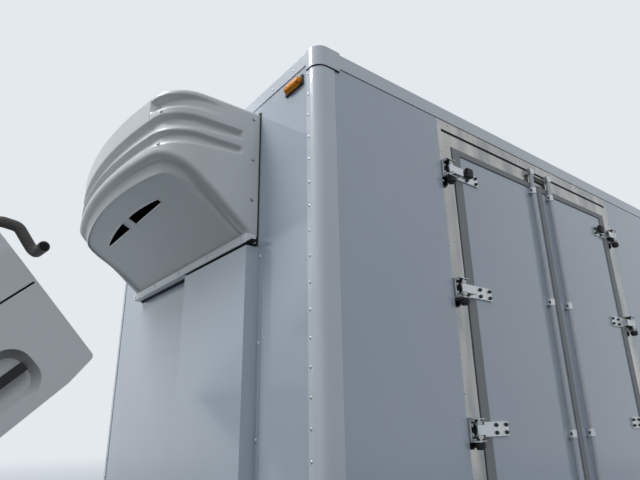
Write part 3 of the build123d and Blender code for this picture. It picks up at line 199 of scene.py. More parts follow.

# %% [markdown]
# ## Metals
# Hinges and bars are brushed stainless steel: the brushing runs along the piece and smears reflections
# across it. The door frames are smoother sheet; broad patches of what stands around, which it mirrors, are
# also painted into its colour as painted reflections. Chassis pieces wear a satin black coat with a little
# dust.

# %% Brushed, polished, painted and cast metals


def brushed(name, base, shade, rough, stretch):
    """Metal with fine lines: one noise squeezed along an axis drives colour, roughness and height. Its lines
    are 2.4 mm apart; real brushing is finer than a pixel and would not show."""
    lines = Field(420.0, stretch, 2.0)
    return finish(name, (base, shade), lines, (rough, rough + 0.16), lines, lines, 0.0001, 0.4,
                  shine={"Metallic": 1.0})


def polished(name, base, shade, rough):
    """Smooth metal sheet: tall soft patches of two tones, which are painted reflections of what stands
    around, and long waves in the surface.
    """
    patches = Field(6.0, (1, 2, 0.5), 1.5)
    waves = Field(5.0, (1, 3, 1), 1.0)
    return finish(name, (base, shade), patches, rough, None, waves, 0.004, shine={"Metallic": 1.0})


def coated(name, base, dust, rough, amount):
    """Painted metal below the body: a plain coat with road dust in patches 0.15 m wide, up to an amount."""
    return finish(name, (base, dust), Field(7.0, detail=6.0), (rough, rough + 0.2), Field(120.0),
                  Field(260.0), 0.0004, share=(0.0, amount))


# Hinges, straps and screws: stainless steel brushed upright, bright grey with soft streaked reflections.
STAINLESS = brushed("brushed_stainless_steel", "#CDD0D1", "#B9BCBE", 0.24, (1, 1, 0.02))
# Door frames: smoother and wavier steel sheet; broad warm and dark patches in its colour are painted
# reflections.
FRAME_STEEL = polished("frame_stainless_steel", "#B9B7B0", "#8F9191", 0.16)
# Mirror glass: silvered sheet, nearly a perfect mirror.
MIRROR = polished("mirror_glass", "#D9DDE0", "#CFD4D8", 0.04)
# Rails, tank and rivets: drawn aluminium, its lines running along the truck, paler and duller than steel.
ALUMINIUM = brushed("drawn_aluminium", "#D4D7D9", "#C0C4C7", 0.28, (1, 0.02, 1))
# Frame and axles: satin black paint, greyed by road dust.
CHASSIS = coated("satin_black_chassis_paint", "#1B1C1E", "#4A4843", 0.42, 0.35)
# Lock bars: zinc-plated tube, plain mid grey.
ZINC = coated("zinc_plated_bar", "#C6CBCF", "#D2D6D9", 0.3, 0.6)
# Engine, hubs and dark bolts: cast iron, dull grey with brown dust.
CAST = coated("grey_cast_iron", "#3A3B3C", "#5A554D", 0.6, 0.5)
# Rims: silver paint on pressed steel, dirty towards the middle of each patch.
WHEEL_PAINT = coated("silver_wheel_paint", "#B9BCBE", "#8D8A84", 0.32, 0.3)

# %% [markdown]
# ## Rubber, plastics, fabric, lenses and glass
# Rubber and bare plastic are dark and dull, with a fine grain. Lenses are tinted plastic over ribs. The
# windows are tinted sheet glass. Real glass would need many samples to show the cab behind it without
# grain, so the tint is a half see-through film with a clear shine, which gives the same look.

# %% Dull dark finishes, lenses and glass


def dull(name, base, shade, rough, grain, height, level=0.3):
    """Bare rubber, plastic or cloth: one fine grain mottles the colour and tilts the surface."""
    fine = Field(grain, detail=4.0)
    return finish(name, (base, shade), fine, rough, None, fine, height, shine={"Specular IOR Level": level})


# Gaskets and mats: black rubber, matt, with a grain of 2.5 mm.
RUBBER = dull("black_rubber", "#222325", "#2C2E30", 0.62, 400.0, 0.0003)
# Door seals: grey rubber, a little chalky.
SEAL = dull("grey_seal_rubber", "#8A8D8F", "#969999", 0.55, 400.0, 0.0002)
# Tyres: vulcanised rubber, rougher and browner than the gaskets.
TYRE = dull("tyre_rubber", "#232425", "#313130", 0.75, 160.0, 0.0006)
# Air hose: aged rubber gone brown-grey.
HOSE = dull("aged_rubber_hose", "#4A4744", "#5B5855", 0.55, 120.0, 0.0004)
# Grips, mirrors and lamp bases: moulded black plastic with a soft sheen and a 1.4 mm grain.
PLASTIC = dull("moulded_black_plastic", "#17181A", "#222326", 0.42, 700.0, 0.0002)
# Seats: woven grey cloth, its yarns drawn 4 mm wide so that they show.
SEAT = dull("woven_seat_cloth", "#3C4046", "#2F3237", 0.9, 260.0, 0.0002)
# Painted shade for deep joints, slots and bores, where little light comes back.
DEEP = dull("painted_shade_deep", "#060607", "#0B0B0C", 0.8, 200.0, 0.0001)
# Painted shade for open slots, where no light comes back.
OPENING = dull("open_slot_painted_shade", "#030304", "#060607", 1.0, 200.0, 0.0001, 0.0)
# Cab windows: tinted sheet glass, a dark green film seen half through under a clear shine with faint waves.
GLASS = finish("tinted_window_glass", ("#2B3633", "#242E2B"), Field(3.0), 0.04, None, Field(3.0), 0.001,
               share=(NOISE_LOW, NOISE_HIGH), shine={"Alpha": 0.5})


def lens(name, base, bright, clearness=0.0):
    """Tinted clear plastic: its colour clouds between two tones, and ribs 5 mm apart tilt its surface."""
    ribs = Field(60.0, detail=2.0, kind=RIBS)
    clear = {"Transmission Weight": clearness, "IOR": 1.5, "Specular IOR Level": 0.3}
    return finish(name, (base, bright), Field(30.0), 0.12, None, ribs, 0.0006, 0.4, shine=clear)


# Marker lamps, indicators and reflectors: amber acrylic.
AMBER = lens("amber_lens", "#EA7F00", "#FFA814")
# Tail lamps: red acrylic.
RED = lens("red_lens", "#A30E14", "#C8232A")
# Headlamps and reversing lamps: clear acrylic, a little see-through.
CLEAR = lens("clear_lens", "#C9D0D5", "#E4E8EB", 0.3)

# %% [markdown]
# ## Which solid wears which finish
# One table names the finish of each solid by the start of its name. The longest fitting start wins.

# %% Dress the solids
FINISH_BY_START = {
    "box_": PANEL, "side_door_front_leaf": PANEL, "side_door_rear_leaf": PANEL,
    "rear_door_left_leaf": PANEL, "rear_door_right_leaf": PANEL, "pipe_cover": PANEL,
    "corner_posts": EDGE, "roof_rails": EDGE, "side_door_frame": FRAME_STEEL, "rear_door_frame": FRAME_STEEL,
    "side_door_front_hardware": STAINLESS, "side_door_rear_hardware": STAINLESS,
    "rear_door_left_hardware": STAINLESS, "rear_door_right_hardware": STAINLESS,
    "refrigeration_unit": HOUSING, "evaporator": HOUSING, "unit_gasket": RUBBER, "marker_lamps": AMBER,
    "cab_": CAB_PAINT, "cab_glass": GLASS, "cab_door_glass": GLASS, "cab_grips": PLASTIC, "cab_seats": SEAT,
    "cab_dash": PLASTIC, "cab_mirrors": PLASTIC, "cab_grille": PLASTIC, "cab_rear_tube": HOSE,
    "cab_stay": CHASSIS, "headlamps": CLEAR, "chassis_frame": CHASSIS, "engine_block": CAST,
    "driveline": CAST, "front_axle": CHASSIS, "rear_axle": CHASSIS, "knuckle": CAST, "fuel_tank": ALUMINIUM,
    "battery_box": PLASTIC, "mudguards": PLASTIC, "side_guards": ALUMINIUM, "front_bumper": CAB_PAINT,
    "rear_underrun": CHASSIS, "tail_lamps": RED, "rim_": WHEEL_PAINT, "tyre_": TYRE,
}
for name in nodes:
    start = max((s for s in FINISH_BY_START if name.startswith(s)), key=len)
    mesh = nodes[name].data
    mesh.materials.clear()
    mesh.materials.append(FINISH_BY_START[start])
print("dressed", len(nodes), "solids")

# %% [markdown]
# ## Building blocks for small pieces
# A form is a list of points with face arrays, one for each number of corners. Forms are laid out flat in
# millimetres, with u to the side, v up and w out of the wall, then placed on a wall of the box. Working on
# whole arrays keeps this quick: a hundred rivets are one head, repeated at an array of places.

# %% Forms, walls and pieces
MM = 0.001
REAR_FACE_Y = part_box("box_roof")[1][1]
LOWERED_CAB_Y = FRONT_WALL_Y - 0.09
WALLS = {
    # name: origin and the directions of u, v and w
    "left": ((LEFT_WALL_X, FRONT_WALL_Y, 0), ((0, 1, 0), (0, 0, 1), (1, 0, 0))),
    "front": ((0, FRONT_WALL_Y, 0), ((1, 0, 0), (0, 0, 1), (0, -1, 0))),
    "rear": ((0, REAR_FACE_Y, 0), ((-1, 0, 0), (0, 0, 1), (0, 1, 0))),
    "right": ((-LEFT_WALL_X, FRONT_WALL_Y, 0), ((0, -1, 0), (0, 0, 1), (-1, 0, 0))),
    # Plans with x across and a height, y behind the front wall or behind the lowered cab's rear plane.
    "plan": ((0, FRONT_WALL_Y, 0), ((1, 0, 0), (0, 1, 0), (0, 0, 1))),
    "cab": ((0, LOWERED_CAB_Y, 0), ((1, 0, 0), (0, 1, 0), (0, 0, 1))),
}
BEVEL_ANGLE = math.radians(40)
WELD_DISTANCE = 0.00001


def on(wall, form):
    """A form in millimetres placed on a wall: origin + u U + v V + w W."""
    origin, axes = WALLS[wall]
    return np.array(origin) + np.asarray(form[0], float) * MM @ np.array(axes, float), form[1]


def moved(form, place):
    """The form shifted by a place."""
    return form[0] + place, form[1]


def turned_over(form):
    """The form with every face looking the other way."""
    return form[0], [array[:, ::-1] for array in form[1]]


def join(forms):
    """Several forms as one, the corner numbers shifted past the points before them."""
    points, faces, start = [], {}, 0
    for some, arrays in forms:
        points.append(some)
        for array in arrays:
            faces.setdefault(array.shape[1], []).append(array + start)
        start += len(some)
    return np.concatenate(points), [np.concatenate(group) for group in faces.values()]


def copies(form, places):
    """The form repeated at every place."""
    points, arrays = form
    places = np.asarray(places, float)
    many = (points[None] + places[:, None]).reshape(-1, 3)
    shift = np.arange(len(places))[:, None, None] * len(points)
    return many, [(array[None] + shift).reshape(-1, array.shape[1]) for array in arrays]


def both(form):
    """The form and its mirror image, whose faces are turned round again."""
    return join([form, turned_over((form[0] * (-1, 1, 1), form[1]))])


def grid(points, round_u=False, round_v=False):
    """Quads over a (rows, columns, 3) grid: a cell's corners are (r, c), (r2, c), (r2, c2) and (r, c2)."""
    rows, columns = points.shape[:2]
    r = np.arange(rows if round_u else rows - 1)[:, None]
    c = np.arange(columns if round_v else columns - 1)[None]
    r2, c2 = (r + 1) % rows, (c + 1) % columns
    corners = (r * columns + c, r2 * columns + c, r2 * columns + c2, r * columns + c2)
    quads = np.stack(np.broadcast_arrays(*corners), -1)
    return points.reshape(-1, 3), [quads.reshape(-1, 4)]


def closed(rings):
    """Rings of points as a closed shape: quads between rings, a flat polygon on the first and the last."""
    count, segments = rings.shape[:2]
    flat, quads = grid(rings, round_v=True)
    around = np.arange(segments)
    caps = np.array([around[::-1], (count - 1) * segments + around])
    return flat, [quads[0][:, ::-1], caps]


def full_turn(segments):
    """Angles of equal steps once round."""
    return np.arange(segments) * 2 * math.pi / segments


def lathe(profile, segments=12):
    """(radius, height) pairs turned about w: (r cos a, r sin a, h), closed by a flat polygon at each end."""
    profile = np.asarray(profile, float)
    angle = full_turn(segments)
    radius, height = profile[:, 0, None], profile[:, 1, None]
    return closed(np.stack(np.broadcast_arrays(radius * np.cos(angle), radius * np.sin(angle), height), -1))


def bar(u, v, w):
    """A box between the low and high value of u, v and w."""
    corners = np.array([(x, y, z) for x in u for y in v for z in w], float)
    quads = np.array([(0, 1, 3, 2), (4, 6, 7, 5), (0, 4, 5, 1), (2, 3, 7, 6), (0, 2, 6, 4), (1, 5, 7, 3)])
    return corners, [quads]


def weld(mesh):
    """Merges points that lie within a hundredth of a millimetre, and closes the hole that is left."""
    shape = bmesh.new()
    shape.from_mesh(mesh)
    bmesh.ops.remove_doubles(shape, verts=shape.verts, dist=WELD_DISTANCE)
    bmesh.ops.holes_fill(shape, edges=[edge for edge in shape.edges if edge.is_boundary])
    bmesh.ops.recalc_face_normals(shape, faces=shape.faces)
    shape.to_mesh(mesh)
    shape.free()


def piece(name, form, material, body="chassis", smooth=0.0, bevel=0.0, welded=False):
    """One object from a form. Edges under smooth degrees look soft; bevel is a width in metres."""
    points, arrays = form
    mesh = bpy.data.meshes.new(name)
    mesh.from_pydata(points.tolist(), [], [face for array in arrays for face in array.tolist()])
    mesh.materials.append(material)
    if welded:
        weld(mesh)
    if smooth:
        mesh.polygons.foreach_set("use_smooth", [True] * len(mesh.polygons))
        mesh.set_sharp_from_angle(angle=math.radians(smooth))
    thing = bpy.data.objects.new(name, mesh)
    bpy.context.scene.collection.objects.link(thing)
    if bevel:
        soft = thing.modifiers.new("soft edges", "BEVEL")
        soft.width = bevel
        soft.segments = 2
        soft.limit_method = "ANGLE"
        soft.angle_limit = BEVEL_ANGLE
    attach(thing, body)
    print("piece", name, "with", len(mesh.polygons), "faces on", body)
    return thing


# %% [markdown]
# ## Two kinds of fastener
# Thin sheet is riveted or screwed with low domed heads. Hinges and guards are bolted, with a hexagon head
# over a washer. Each is a profile turned about its axis with few faces, because hundreds are needed.

# %% Heads of screws and bolts
DOME_ANGLES = np.radians([0, 35, 65, 84])


def screw_head(radius, height):
    """A domed head with a small flat on top: rings of a shallow ball cap over a short straight foot."""
    rises = height * (0.3 + 0.7 * np.sin(DOME_ANGLES))
    return lathe([(radius, 0), *zip(radius * np.cos(DOME_ANGLES), rises)], 10)


def hex_head(radius, height):
    """A hexagon bolt head over its washer, which is a quarter wider and a fifth as high."""
    foot = 0.2 * height
    washer = lathe([(1.25 * radius, 0), (1.25 * radius, foot)], 16)
    head = lathe([(radius, foot), (radius, 0.85 * height), (0.86 * radius, height)], 6)
    return join([washer, head])


print("points in a screw head:", len(screw_head(1, 1)[0]), "in a bolt head:", len(hex_head(1, 1)[0]))

# %% [markdown]
# ## The cooling unit's moulded skin
# The real housing is one moulding in two halves. It could be cut out of a block, but cut grooves would have
# hard ends. Here the skin is swept along the housing's outline. Seen from above that outline is a straight
# side, a corner arc and a bowed front.

# %% Outline of the housing
UNIT_BACK_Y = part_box("unit_gasket")[0][1]
UNIT_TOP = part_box("refrigeration_unit")[1][2]
UNIT_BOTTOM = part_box("refrigeration_unit")[0][2]
HALF_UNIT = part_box("refrigeration_unit")[1][0]
CORNER_X, CORNER_Y, CORNER_R, UNIT_DEPTH = 0.49, -0.255, 0.16, 0.465
SEAM_X = 0.495
SEAM_NEAR = 0.002
GROOVE_START, GROOVE_FULL = 0.072, 0.095
# Distances along the straight side: coarse, fine where the grooves set in, and coarse again.
SIDE_STEPS = ((0, 0.07, 4), (0.074, 0.1, 12), (0.11, -CORNER_Y, 16))


def half_outline():
    """Points and outward normals from the wall to the middle of the front, forward being negative y: a line,
    centre + R (sin a, -cos a) for the corner, and the same with the bow's own radius for the front."""
    reach = UNIT_DEPTH + CORNER_Y
    bow = (CORNER_X ** 2 + reach ** 2 - CORNER_R ** 2) / (2 * (reach - CORNER_R))
    turn = math.atan2(CORNER_X, bow - reach)
    y = -np.concatenate([np.linspace(*steps) for steps in SIDE_STEPS])
    side = np.stack([np.full_like(y, HALF_UNIT), y], 1)
    side_normal = np.tile((1.0, 0.0), (len(y), 1))
    a = np.linspace(math.pi / 2, turn, 40)[1:]
    corner_normal = np.stack([np.sin(a), -np.cos(a)], 1)
    corner = np.array((CORNER_X, CORNER_Y)) + CORNER_R * corner_normal
    after, before = (math.asin((SEAM_X + way * SEAM_NEAR) / bow) for way in (1, -1))
    parts = (np.linspace(turn, after, 4), np.linspace(after, before, 9), np.linspace(before, 0, 44))
    b = np.concatenate([part[1:] for part in parts])
    bow_normal = np.stack([np.sin(b), -np.cos(b)], 1)
    front = np.array((0, bow - UNIT_DEPTH)) + bow * bow_normal
    return np.concatenate([side, corner, front]), np.concatenate([side_normal, corner_normal, bow_normal])


def ease(low, high, value):
    """Soft step: 3 t^2 - 2 t^3 with t running from 0 at low to 1 at high."""
    t = np.clip((value - low) / (high - low), 0, 1)
    return t * t * (3 - 2 * t)


half_points, half_normals = half_outline()
outline_points = np.concatenate([half_points, half_points[-2::-1] * (-1, 1)])
outline_normals = np.concatenate([half_normals, half_normals[-2::-1] * (-1, 1)])
half_run = np.concatenate([[0], np.cumsum(np.hypot(*np.diff(half_points, axis=0).T))])
outline_run = np.concatenate([half_run, half_run[-2::-1]])
print("outline points", len(outline_points), "half run", round(half_run[-1], 3))

# %% [markdown]
# ## How the wall is pressed in
# Two grooves and a recess run round the housing, and a narrow seam parts its middle from its corners. Their
# heights were read at the same places on side, corner and front. A groove pushes the wall inwards by a soft
# step at its lower edge and another at its upper edge, so its ends and flanks come out rounded, as moulded.

# %% Heights on the housing and the push of the wall
RUN_MARKS = (0.07, 0.21, 0.31, 0.4, 0.5, 0.9)
GROOVES = (
    # lower edge at the run marks, upper edge, depth
    ((2.615, 2.6, 2.592, 2.588, 2.59, 2.594), 2.652, 0.019),
    ((2.684, 2.669, 2.655, 2.65, 2.648, 2.646), 2.727, 0.022),
)
GROOVES_END = 2.592
# Shares of a groove's height over which its lower and upper flank rise.
LOWER_FLANK, UPPER_FLANK = (0, 0.6), (0.72, 1.0)
RECESS_LOW, RECESS_HIGH, RECESS_DEPTH = 2.748, 2.814, 0.026
RECESS_LOWER_FLANK, RECESS_UPPER_FLANK = (0, 0.45), (0.75, 1.0)
RECESS_RUN = (0.14, 0.42)
RECESS_FROM_SEAM = (SEAM_X + 0.001, SEAM_X + 0.022)
SEAM_WIDTH, SEAM_DEPTH, SEAM_FRONT_Y = 0.0014, 0.007, -0.3


def wall_push(run, x, y, z):
    """How far the wall is pressed in: for each groove and for the recess a depth times the soft steps of its
    two flanks, and for the seam a narrow bell exp(-(distance / width)^2)."""
    push = np.zeros(np.broadcast(run, z).shape)
    for lower, upper, depth in GROOVES:
        low = np.interp(run, RUN_MARKS, lower)
        t = (z - low) / (upper - low)
        shape = ease(*LOWER_FLANK, t) * (1 - ease(*UPPER_FLANK, t))
        push += depth * shape * ease(GROOVE_START, GROOVE_FULL, run)
    t = (z - RECESS_LOW) / (RECESS_HIGH - RECESS_LOW)
    behind = ease(*RECESS_RUN, run) * ease(*RECESS_FROM_SEAM, np.abs(x))
    push += RECESS_DEPTH * ease(*RECESS_LOWER_FLANK, t) * (1 - ease(*RECESS_UPPER_FLANK, t)) * behind
    seam = np.exp(-((np.abs(x) - SEAM_X) / SEAM_WIDTH) ** 2) * (y < SEAM_FRONT_Y)
    return push + SEAM_DEPTH * seam


probe = [np.array(value) for value in (0.5, 0.6, -0.2, (RECESS_LOW + RECESS_HIGH) / 2)]
print("push in the recess:", wall_push(*probe))

# %% [markdown]
# ## The skin as one grid
# Each cut through the housing runs over the rounded top edge, down the wall with its grooves, round the
# crease and in under the belly to a raised bead. A row of the grid is such a cut, and the rows follow the
# outline. The flat top and the belly's middle span from the left half of the edge to its mirror image.

# %% Skin of the housing
# Measured heights of the crease and of the belly at distances in front of the gasket.
CREASE_FORWARD = (0.0, 0.058, 0.149, 0.236, 0.323, 0.377, 0.411, 0.465)
CREASE_HEIGHT = (2.262, 2.296, 2.387, 2.457, 2.506, 2.536, 2.55, 2.56)
BELLY_FORWARD = (0.0, 0.056, 0.169, 0.235, 0.295, 0.355, 0.399, 0.465)
BELLY_HEIGHT = (2.27, 2.3, 2.396, 2.443, 2.474, 2.499, 2.515, 2.535)
TOP_ROUND, RIM_ROUND = 0.018, 0.028
TOP_INSIDE = (0.05, 0.03)
# How far in from the wall the bead lies at the side and at the front, at two distances along the outline.
BEAD_RUN, BEAD_INSIDE = (0.2, 0.55), (0.059, 0.045)
BEAD_HEIGHT, BEAD_WIDTH, BEAD_PAST = 0.008, 0.0045, 0.009
INSIDE_SINK, INSIDE_FROM, INSIDE_TO = 0.004, 0.002, 0.009


def smooth_read(marks, values, at):
    """A cubic through measured values, so that the read curve has no corners."""
    return np.polyval(np.polyfit(marks, values, 3), at)


def side_by_side(parts, rows):
    """Column blocks of a grid in one array; a block of one row is repeated down to all rows."""
    return np.concatenate([np.broadcast_to(part, (rows, part.shape[1])) for part in parts], 1)


def housing_skin():
    """Point = outline - d * normal at height z, for a list of (d, z) along the cut: the top edge is the
    quarter circle R (1 - sin a), R (1 - cos a), the wall has d = push, the rim is one more quarter circle,
    and the belly's height goes from the crease to the belly curve by a soft step, less the bead's bell."""
    x, y = outline_points[:, 0, None], outline_points[:, 1, None]
    run = outline_run[:, None]
    rows = len(x)
    crease = smooth_read(CREASE_FORWARD, CREASE_HEIGHT, -y)
    a = np.linspace(0, math.pi / 2, 7)[None]
    over_d = [np.array([TOP_INSIDE]), TOP_ROUND * (1 - np.sin(a))]
    over_z = [np.full((1, len(TOP_INSIDE)), UNIT_TOP), UNIT_TOP - TOP_ROUND * (1 - np.cos(a))]
    high = np.linspace(UNIT_TOP - TOP_ROUND, GROOVES_END, 72)[None, 1:]
    t = np.linspace(0, 1, 18)[None, 1:]
    low = GROOVES_END + (crease + RIM_ROUND - GROOVES_END) * t
    wall_z = side_by_side((high, low), rows)
    wall_d = wall_push(run, x, y, wall_z)
    b = np.linspace(0, math.pi / 2, 9)[None, 1:]
    rim_d = RIM_ROUND * (1 - np.cos(b))
    rim_z = crease + RIM_ROUND * (1 - np.sin(b))
    bead_at = np.interp(run, BEAD_RUN, BEAD_INSIDE)
    t = np.concatenate([np.linspace(0, 0.5, 5)[1:], np.linspace(0.54, 1, 13)])[None]
    band = RIM_ROUND + (bead_at + BEAD_PAST - RIM_ROUND) * t
    d = side_by_side((*over_d, wall_d, rim_d, band), rows)
    px = x - d * outline_normals[:, 0, None]
    py = y - d * outline_normals[:, 1, None]
    belly = smooth_read(BELLY_FORWARD, BELLY_HEIGHT, -py[:, -band.shape[1]:])
    share = ease(0, 1, (band - RIM_ROUND) / (bead_at - RIM_ROUND))
    inside = ease(INSIDE_FROM, INSIDE_TO, band - bead_at)
    bead = BEAD_HEIGHT * np.exp(-((band - bead_at) / BEAD_WIDTH) ** 2) - INSIDE_SINK * inside
    band_z = crease * (1 - share) + belly * share - bead
    z = side_by_side((*over_z, wall_z, rim_z, band_z), rows)
    return np.stack([px, np.minimum(py, 0), z], -1)


def across(edge, steps):
    """Rows that run straight from each point of the left half edge to its mirror image on the right."""
    half = edge[:len(half_points)]
    t = np.linspace(0, 1, steps)[None, :, None]
    return half[:, None] * (1 - t) + half[:, None] * (-1, 1, 1) * t


skin = housing_skin()
top_sheet = grid(across(skin[:, 0], 9)[:, ::-1])
belly_sheet = grid(across(skin[:, -1], 25))
housing = moved(join([grid(skin), top_sheet, belly_sheet]), (0, UNIT_BACK_Y, 0))
shell = piece("unit_shell", housing, HOUSING, smooth=40, welded=True)
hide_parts("refrigeration_unit")
print("housing points", len(housing[0]))

# %% [markdown]
# ## Slots in the belly
# Two slots lie in the belly, each with a raised white rim. A thin black sheet on the belly is painted shade
# inside each slot, and the rims are painted lighter as a painted highlight. The belly is straight from side
# to side, so a sheet on it needs only its height at each depth. The rim is a round bar along the sheet's
# outline.

# %% Slots and their rims
SLOT_ENDS = ((-0.39, -0.064), (0.01, 0.333))
SLOT_REAR, SLOT_FRONT, SLOT_BOW = 0.276, 0.32, 0.21
SLOT_RIM_RADIUS = 0.0045
SHEET_PROUD, SHEET_BACK = 0.0008, 0.003


def tube(path, radius, segments=8, loop=False):
    """A round bar along a path: centre + r (cos a N + sin a B), with N and B square to its direction."""
    path = np.asarray(path, float)
    if loop:
        ahead, behind = np.roll(path, -1, 0), np.roll(path, 1, 0)
    else:
        ahead = np.vstack([path[1:], 2 * path[-1:] - path[-2:-1]])
        behind = np.vstack([2 * path[:1] - path[1:2], path[:-1]])
    way = ahead - behind
    way /= np.linalg.norm(way, axis=1)[:, None]
    least = np.eye(3)[np.argmin(np.abs(way).max(0))]
    side = np.cross(way, least)
    side /= np.linalg.norm(side, axis=1)[:, None]
    over = np.cross(way, side)
    a = full_turn(segments)[:, None]
    rings = path[:, None] + radius * (np.cos(a) * side[:, None] + np.sin(a) * over[:, None])
    return turned_over(grid(rings, round_u=True, round_v=True)) if loop else closed(rings)


def belly_slot(ends):
    """A slot's thin black sheet on the belly, painted shade for the opening, and its outline; the front
    edge is f = front - bow x^2.
    """
    x = np.linspace(*ends, 24)[:, None]
    t = np.linspace(0, 1, 5)[None]
    forward = SLOT_REAR * (1 - t) + (SLOT_FRONT - SLOT_BOW * x ** 2) * t
    height = smooth_read(BELLY_FORWARD, BELLY_HEIGHT, forward) + INSIDE_SINK
    patch = np.stack(np.broadcast_arrays(x, UNIT_BACK_Y - forward, height), -1)
    sheet = np.concatenate([patch - (0, 0, SHEET_PROUD), patch[:, ::-1] + (0, 0, SHEET_BACK)], 1)
    return turned_over(closed(sheet)), np.concatenate([patch[:, 0], patch[::-1, -1]])


sheets, rims = zip(*(belly_slot(ends) for ends in SLOT_ENDS))
# The black sheets are painted shade inside the slots; the rims wear a painted highlight.
piece("unit_slots", join(sheets), OPENING)
rims = join([tube(ring, SLOT_RIM_RADIUS, loop=True) for ring in rims])
piece("unit_slot_rims", rims, RIM_HIGHLIGHT, smooth=50)

# %% [markdown]
# ## Lip and screws of the housing
# The housing stands on a lip along the wall; the lip is painted lighter than the housing as a painted
# highlight. Under the lip a black rubber strip is a dark joint and painted shade of the gap: narrow along
# the wall, as wide as the lip over the pipe cover. Screws hold the skin at its back edge and beside the
# seam.

# %% Lip along the wall, and the screws of the housing
LIP_TOP = 2284
LIP_BOTTOM = UNIT_BOTTOM / MM
LIP_HALF, LIP_OUT = 649, (6, 54)
JOINT_HALF, JOINT_OUT, JOINT_DROP = 640, (8, 20), (0.2, 4)
COVER_JOINT_OUT = (20, 50)
duct_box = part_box("pipe_cover")
duct_span = (duct_box[0][0] / MM, duct_box[1][0] / MM)
lip = on("front", bar((-LIP_HALF, LIP_HALF), (LIP_BOTTOM + 1, LIP_TOP), LIP_OUT))
piece("unit_lip", lip, RIM_HIGHLIGHT, bevel=0.004)
# Black rubber under the lip: a dark joint, and the painted shade of the gap.
under = [LIP_BOTTOM + drop for drop in JOINT_DROP]
joint_and_shade = join([bar((-JOINT_HALF, JOINT_HALF), under, JOINT_OUT), bar(duct_span, under, COVER_JOINT_OUT)])
piece("unit_lip_underside", on("front", joint_and_shade), RUBBER)


def facing(form, direction):
    """A form whose w axis is turned to a level direction (x, y), v staying up."""
    out = np.array((*direction, 0.0)) / math.hypot(*direction)
    up = np.array((0, 0, 1.0))
    points = form[0] * MM
    return points[:, :1] * np.cross(up, out) + points[:, 1:2] * up + points[:, 2:] * out, form[1]


SKIN_SCREWS = (
    # x, y in front of the gasket, height, direction of the skin there
    (0.649, -0.028, 2.797, (1, 0)), (0.649, -0.028, 2.607, (1, 0)), (0.649, -0.028, 2.428, (1, 0)),
    (0.563, -0.397, 2.742, (0.5, -0.86)), (0.566, -0.395, 2.597, (0.5, -0.86)),
)
skin_screws = []
for x, y, z, way in SKIN_SCREWS:
    for sign in (1, -1):
        head = facing(hex_head(6, 5), (sign * way[0], way[1]))
        skin_screws.append(moved(head, (sign * x, UNIT_BACK_Y + y, z)))
piece("unit_screws", join(skin_screws), STAINLESS)
lip_places = [(x, 2266, 53.5) for x in (-622, -310, 0, 310, 622)]
lip_screws = on("front", copies(screw_head(8, 5), lip_places))
piece("unit_lip_screws", lip_screws, STAINLESS, smooth=60)

# %% [markdown]
# ## Rivets and screws on the front wall
# Rivets hold the corner posts and the roof rail, and larger screws the pipe cover. They are what the eye
# measures the wall by, so each row has its real spacing.

# %% Rows of rivets and screws
BOX_TOP = ROOF_Z / MM
HEAD_OUT = 3.2


def front_row(name, head, columns, heights):
    """One row of like heads on the front wall, at every column and height."""
    places = [(x, z, HEAD_OUT) for x in columns for z in heights]
    piece(name, on("front", copies(head, places)), ALUMINIUM, smooth=60)


front_row("post_rivets", screw_head(5, 3), (-998, 998), np.arange(850, 2850, 90))
front_row("duct_screws", screw_head(7, 4), (duct_span[0] + 13, duct_span[1] - 13), np.arange(870, 2200, 330))
front_row("rail_rivets", screw_head(4, 2.5), np.arange(-900, 901, 150), (BOX_TOP - 28,))

# %% [markdown]
# ## Marker lamps
# Each lamp is an amber lens on a black base. Its outline lies between an oval and a rectangle, which is
# what a superellipse gives, and its rings shrink as they rise, so that the lens is rounded all over.

# %% Marker lamps
LAMP_SPREAD = 905
LAMP_LENS = (52, 19, 25)


def domed(half_u, half_v, height, power=4, rings=9, segments=48):
    """A rounded lens: rings of a superellipse |u|^n + |v|^n = 1, shrinking as the height follows a quarter
    circle; across the lens they shrink by more, so that it ends in a short ridge."""
    a = full_turn(segments)
    u = np.sign(np.cos(a)) * np.abs(np.cos(a)) ** (2 / power)
    v = np.sign(np.sin(a)) * np.abs(np.sin(a)) ** (2 / power)
    b = np.linspace(0, math.pi / 2, rings)[:, None]
    shrink_u = 1 - 0.5 * (1 - np.cos(b)) * (half_v / half_u)
    shrink_v = 1 - 0.62 * (1 - np.cos(b))
    rows = np.broadcast_arrays(half_u * shrink_u * u, half_v * shrink_v * v, height * np.sin(b))
    return closed(np.stack(rows, -1))


lamp_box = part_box("marker_lamps")
lamp_height = (lamp_box[0][2] + lamp_box[1][2]) / 2 / MM
lamp_places = [(side * LAMP_SPREAD, lamp_height, 0) for side in (-1, 1)]
lens_pair = on("front", copies(domed(*LAMP_LENS), lamp_places))
lenses = piece("marker_lenses", lens_pair, AMBER, smooth=40)
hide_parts("marker_lamps")
bases = copies(bar((-59, 59), (-22, 22), (0.4, 7)), lamp_places)
piece("marker_bases", on("front", bases), PLASTIC, bevel=0.002)

# %% [markdown]
# ## Seals, bolts and sleeves of the box doors
# Side and rear doors are built alike, so one function makes the small pieces of a leaf. It takes the leaf's
# hinge edge and the direction in which the leaf lies from it. A grey rubber seal frames each leaf on three
# sides, bolts hold the hinge straps and the lock bar's guides, and sleeves cover the bar between them.

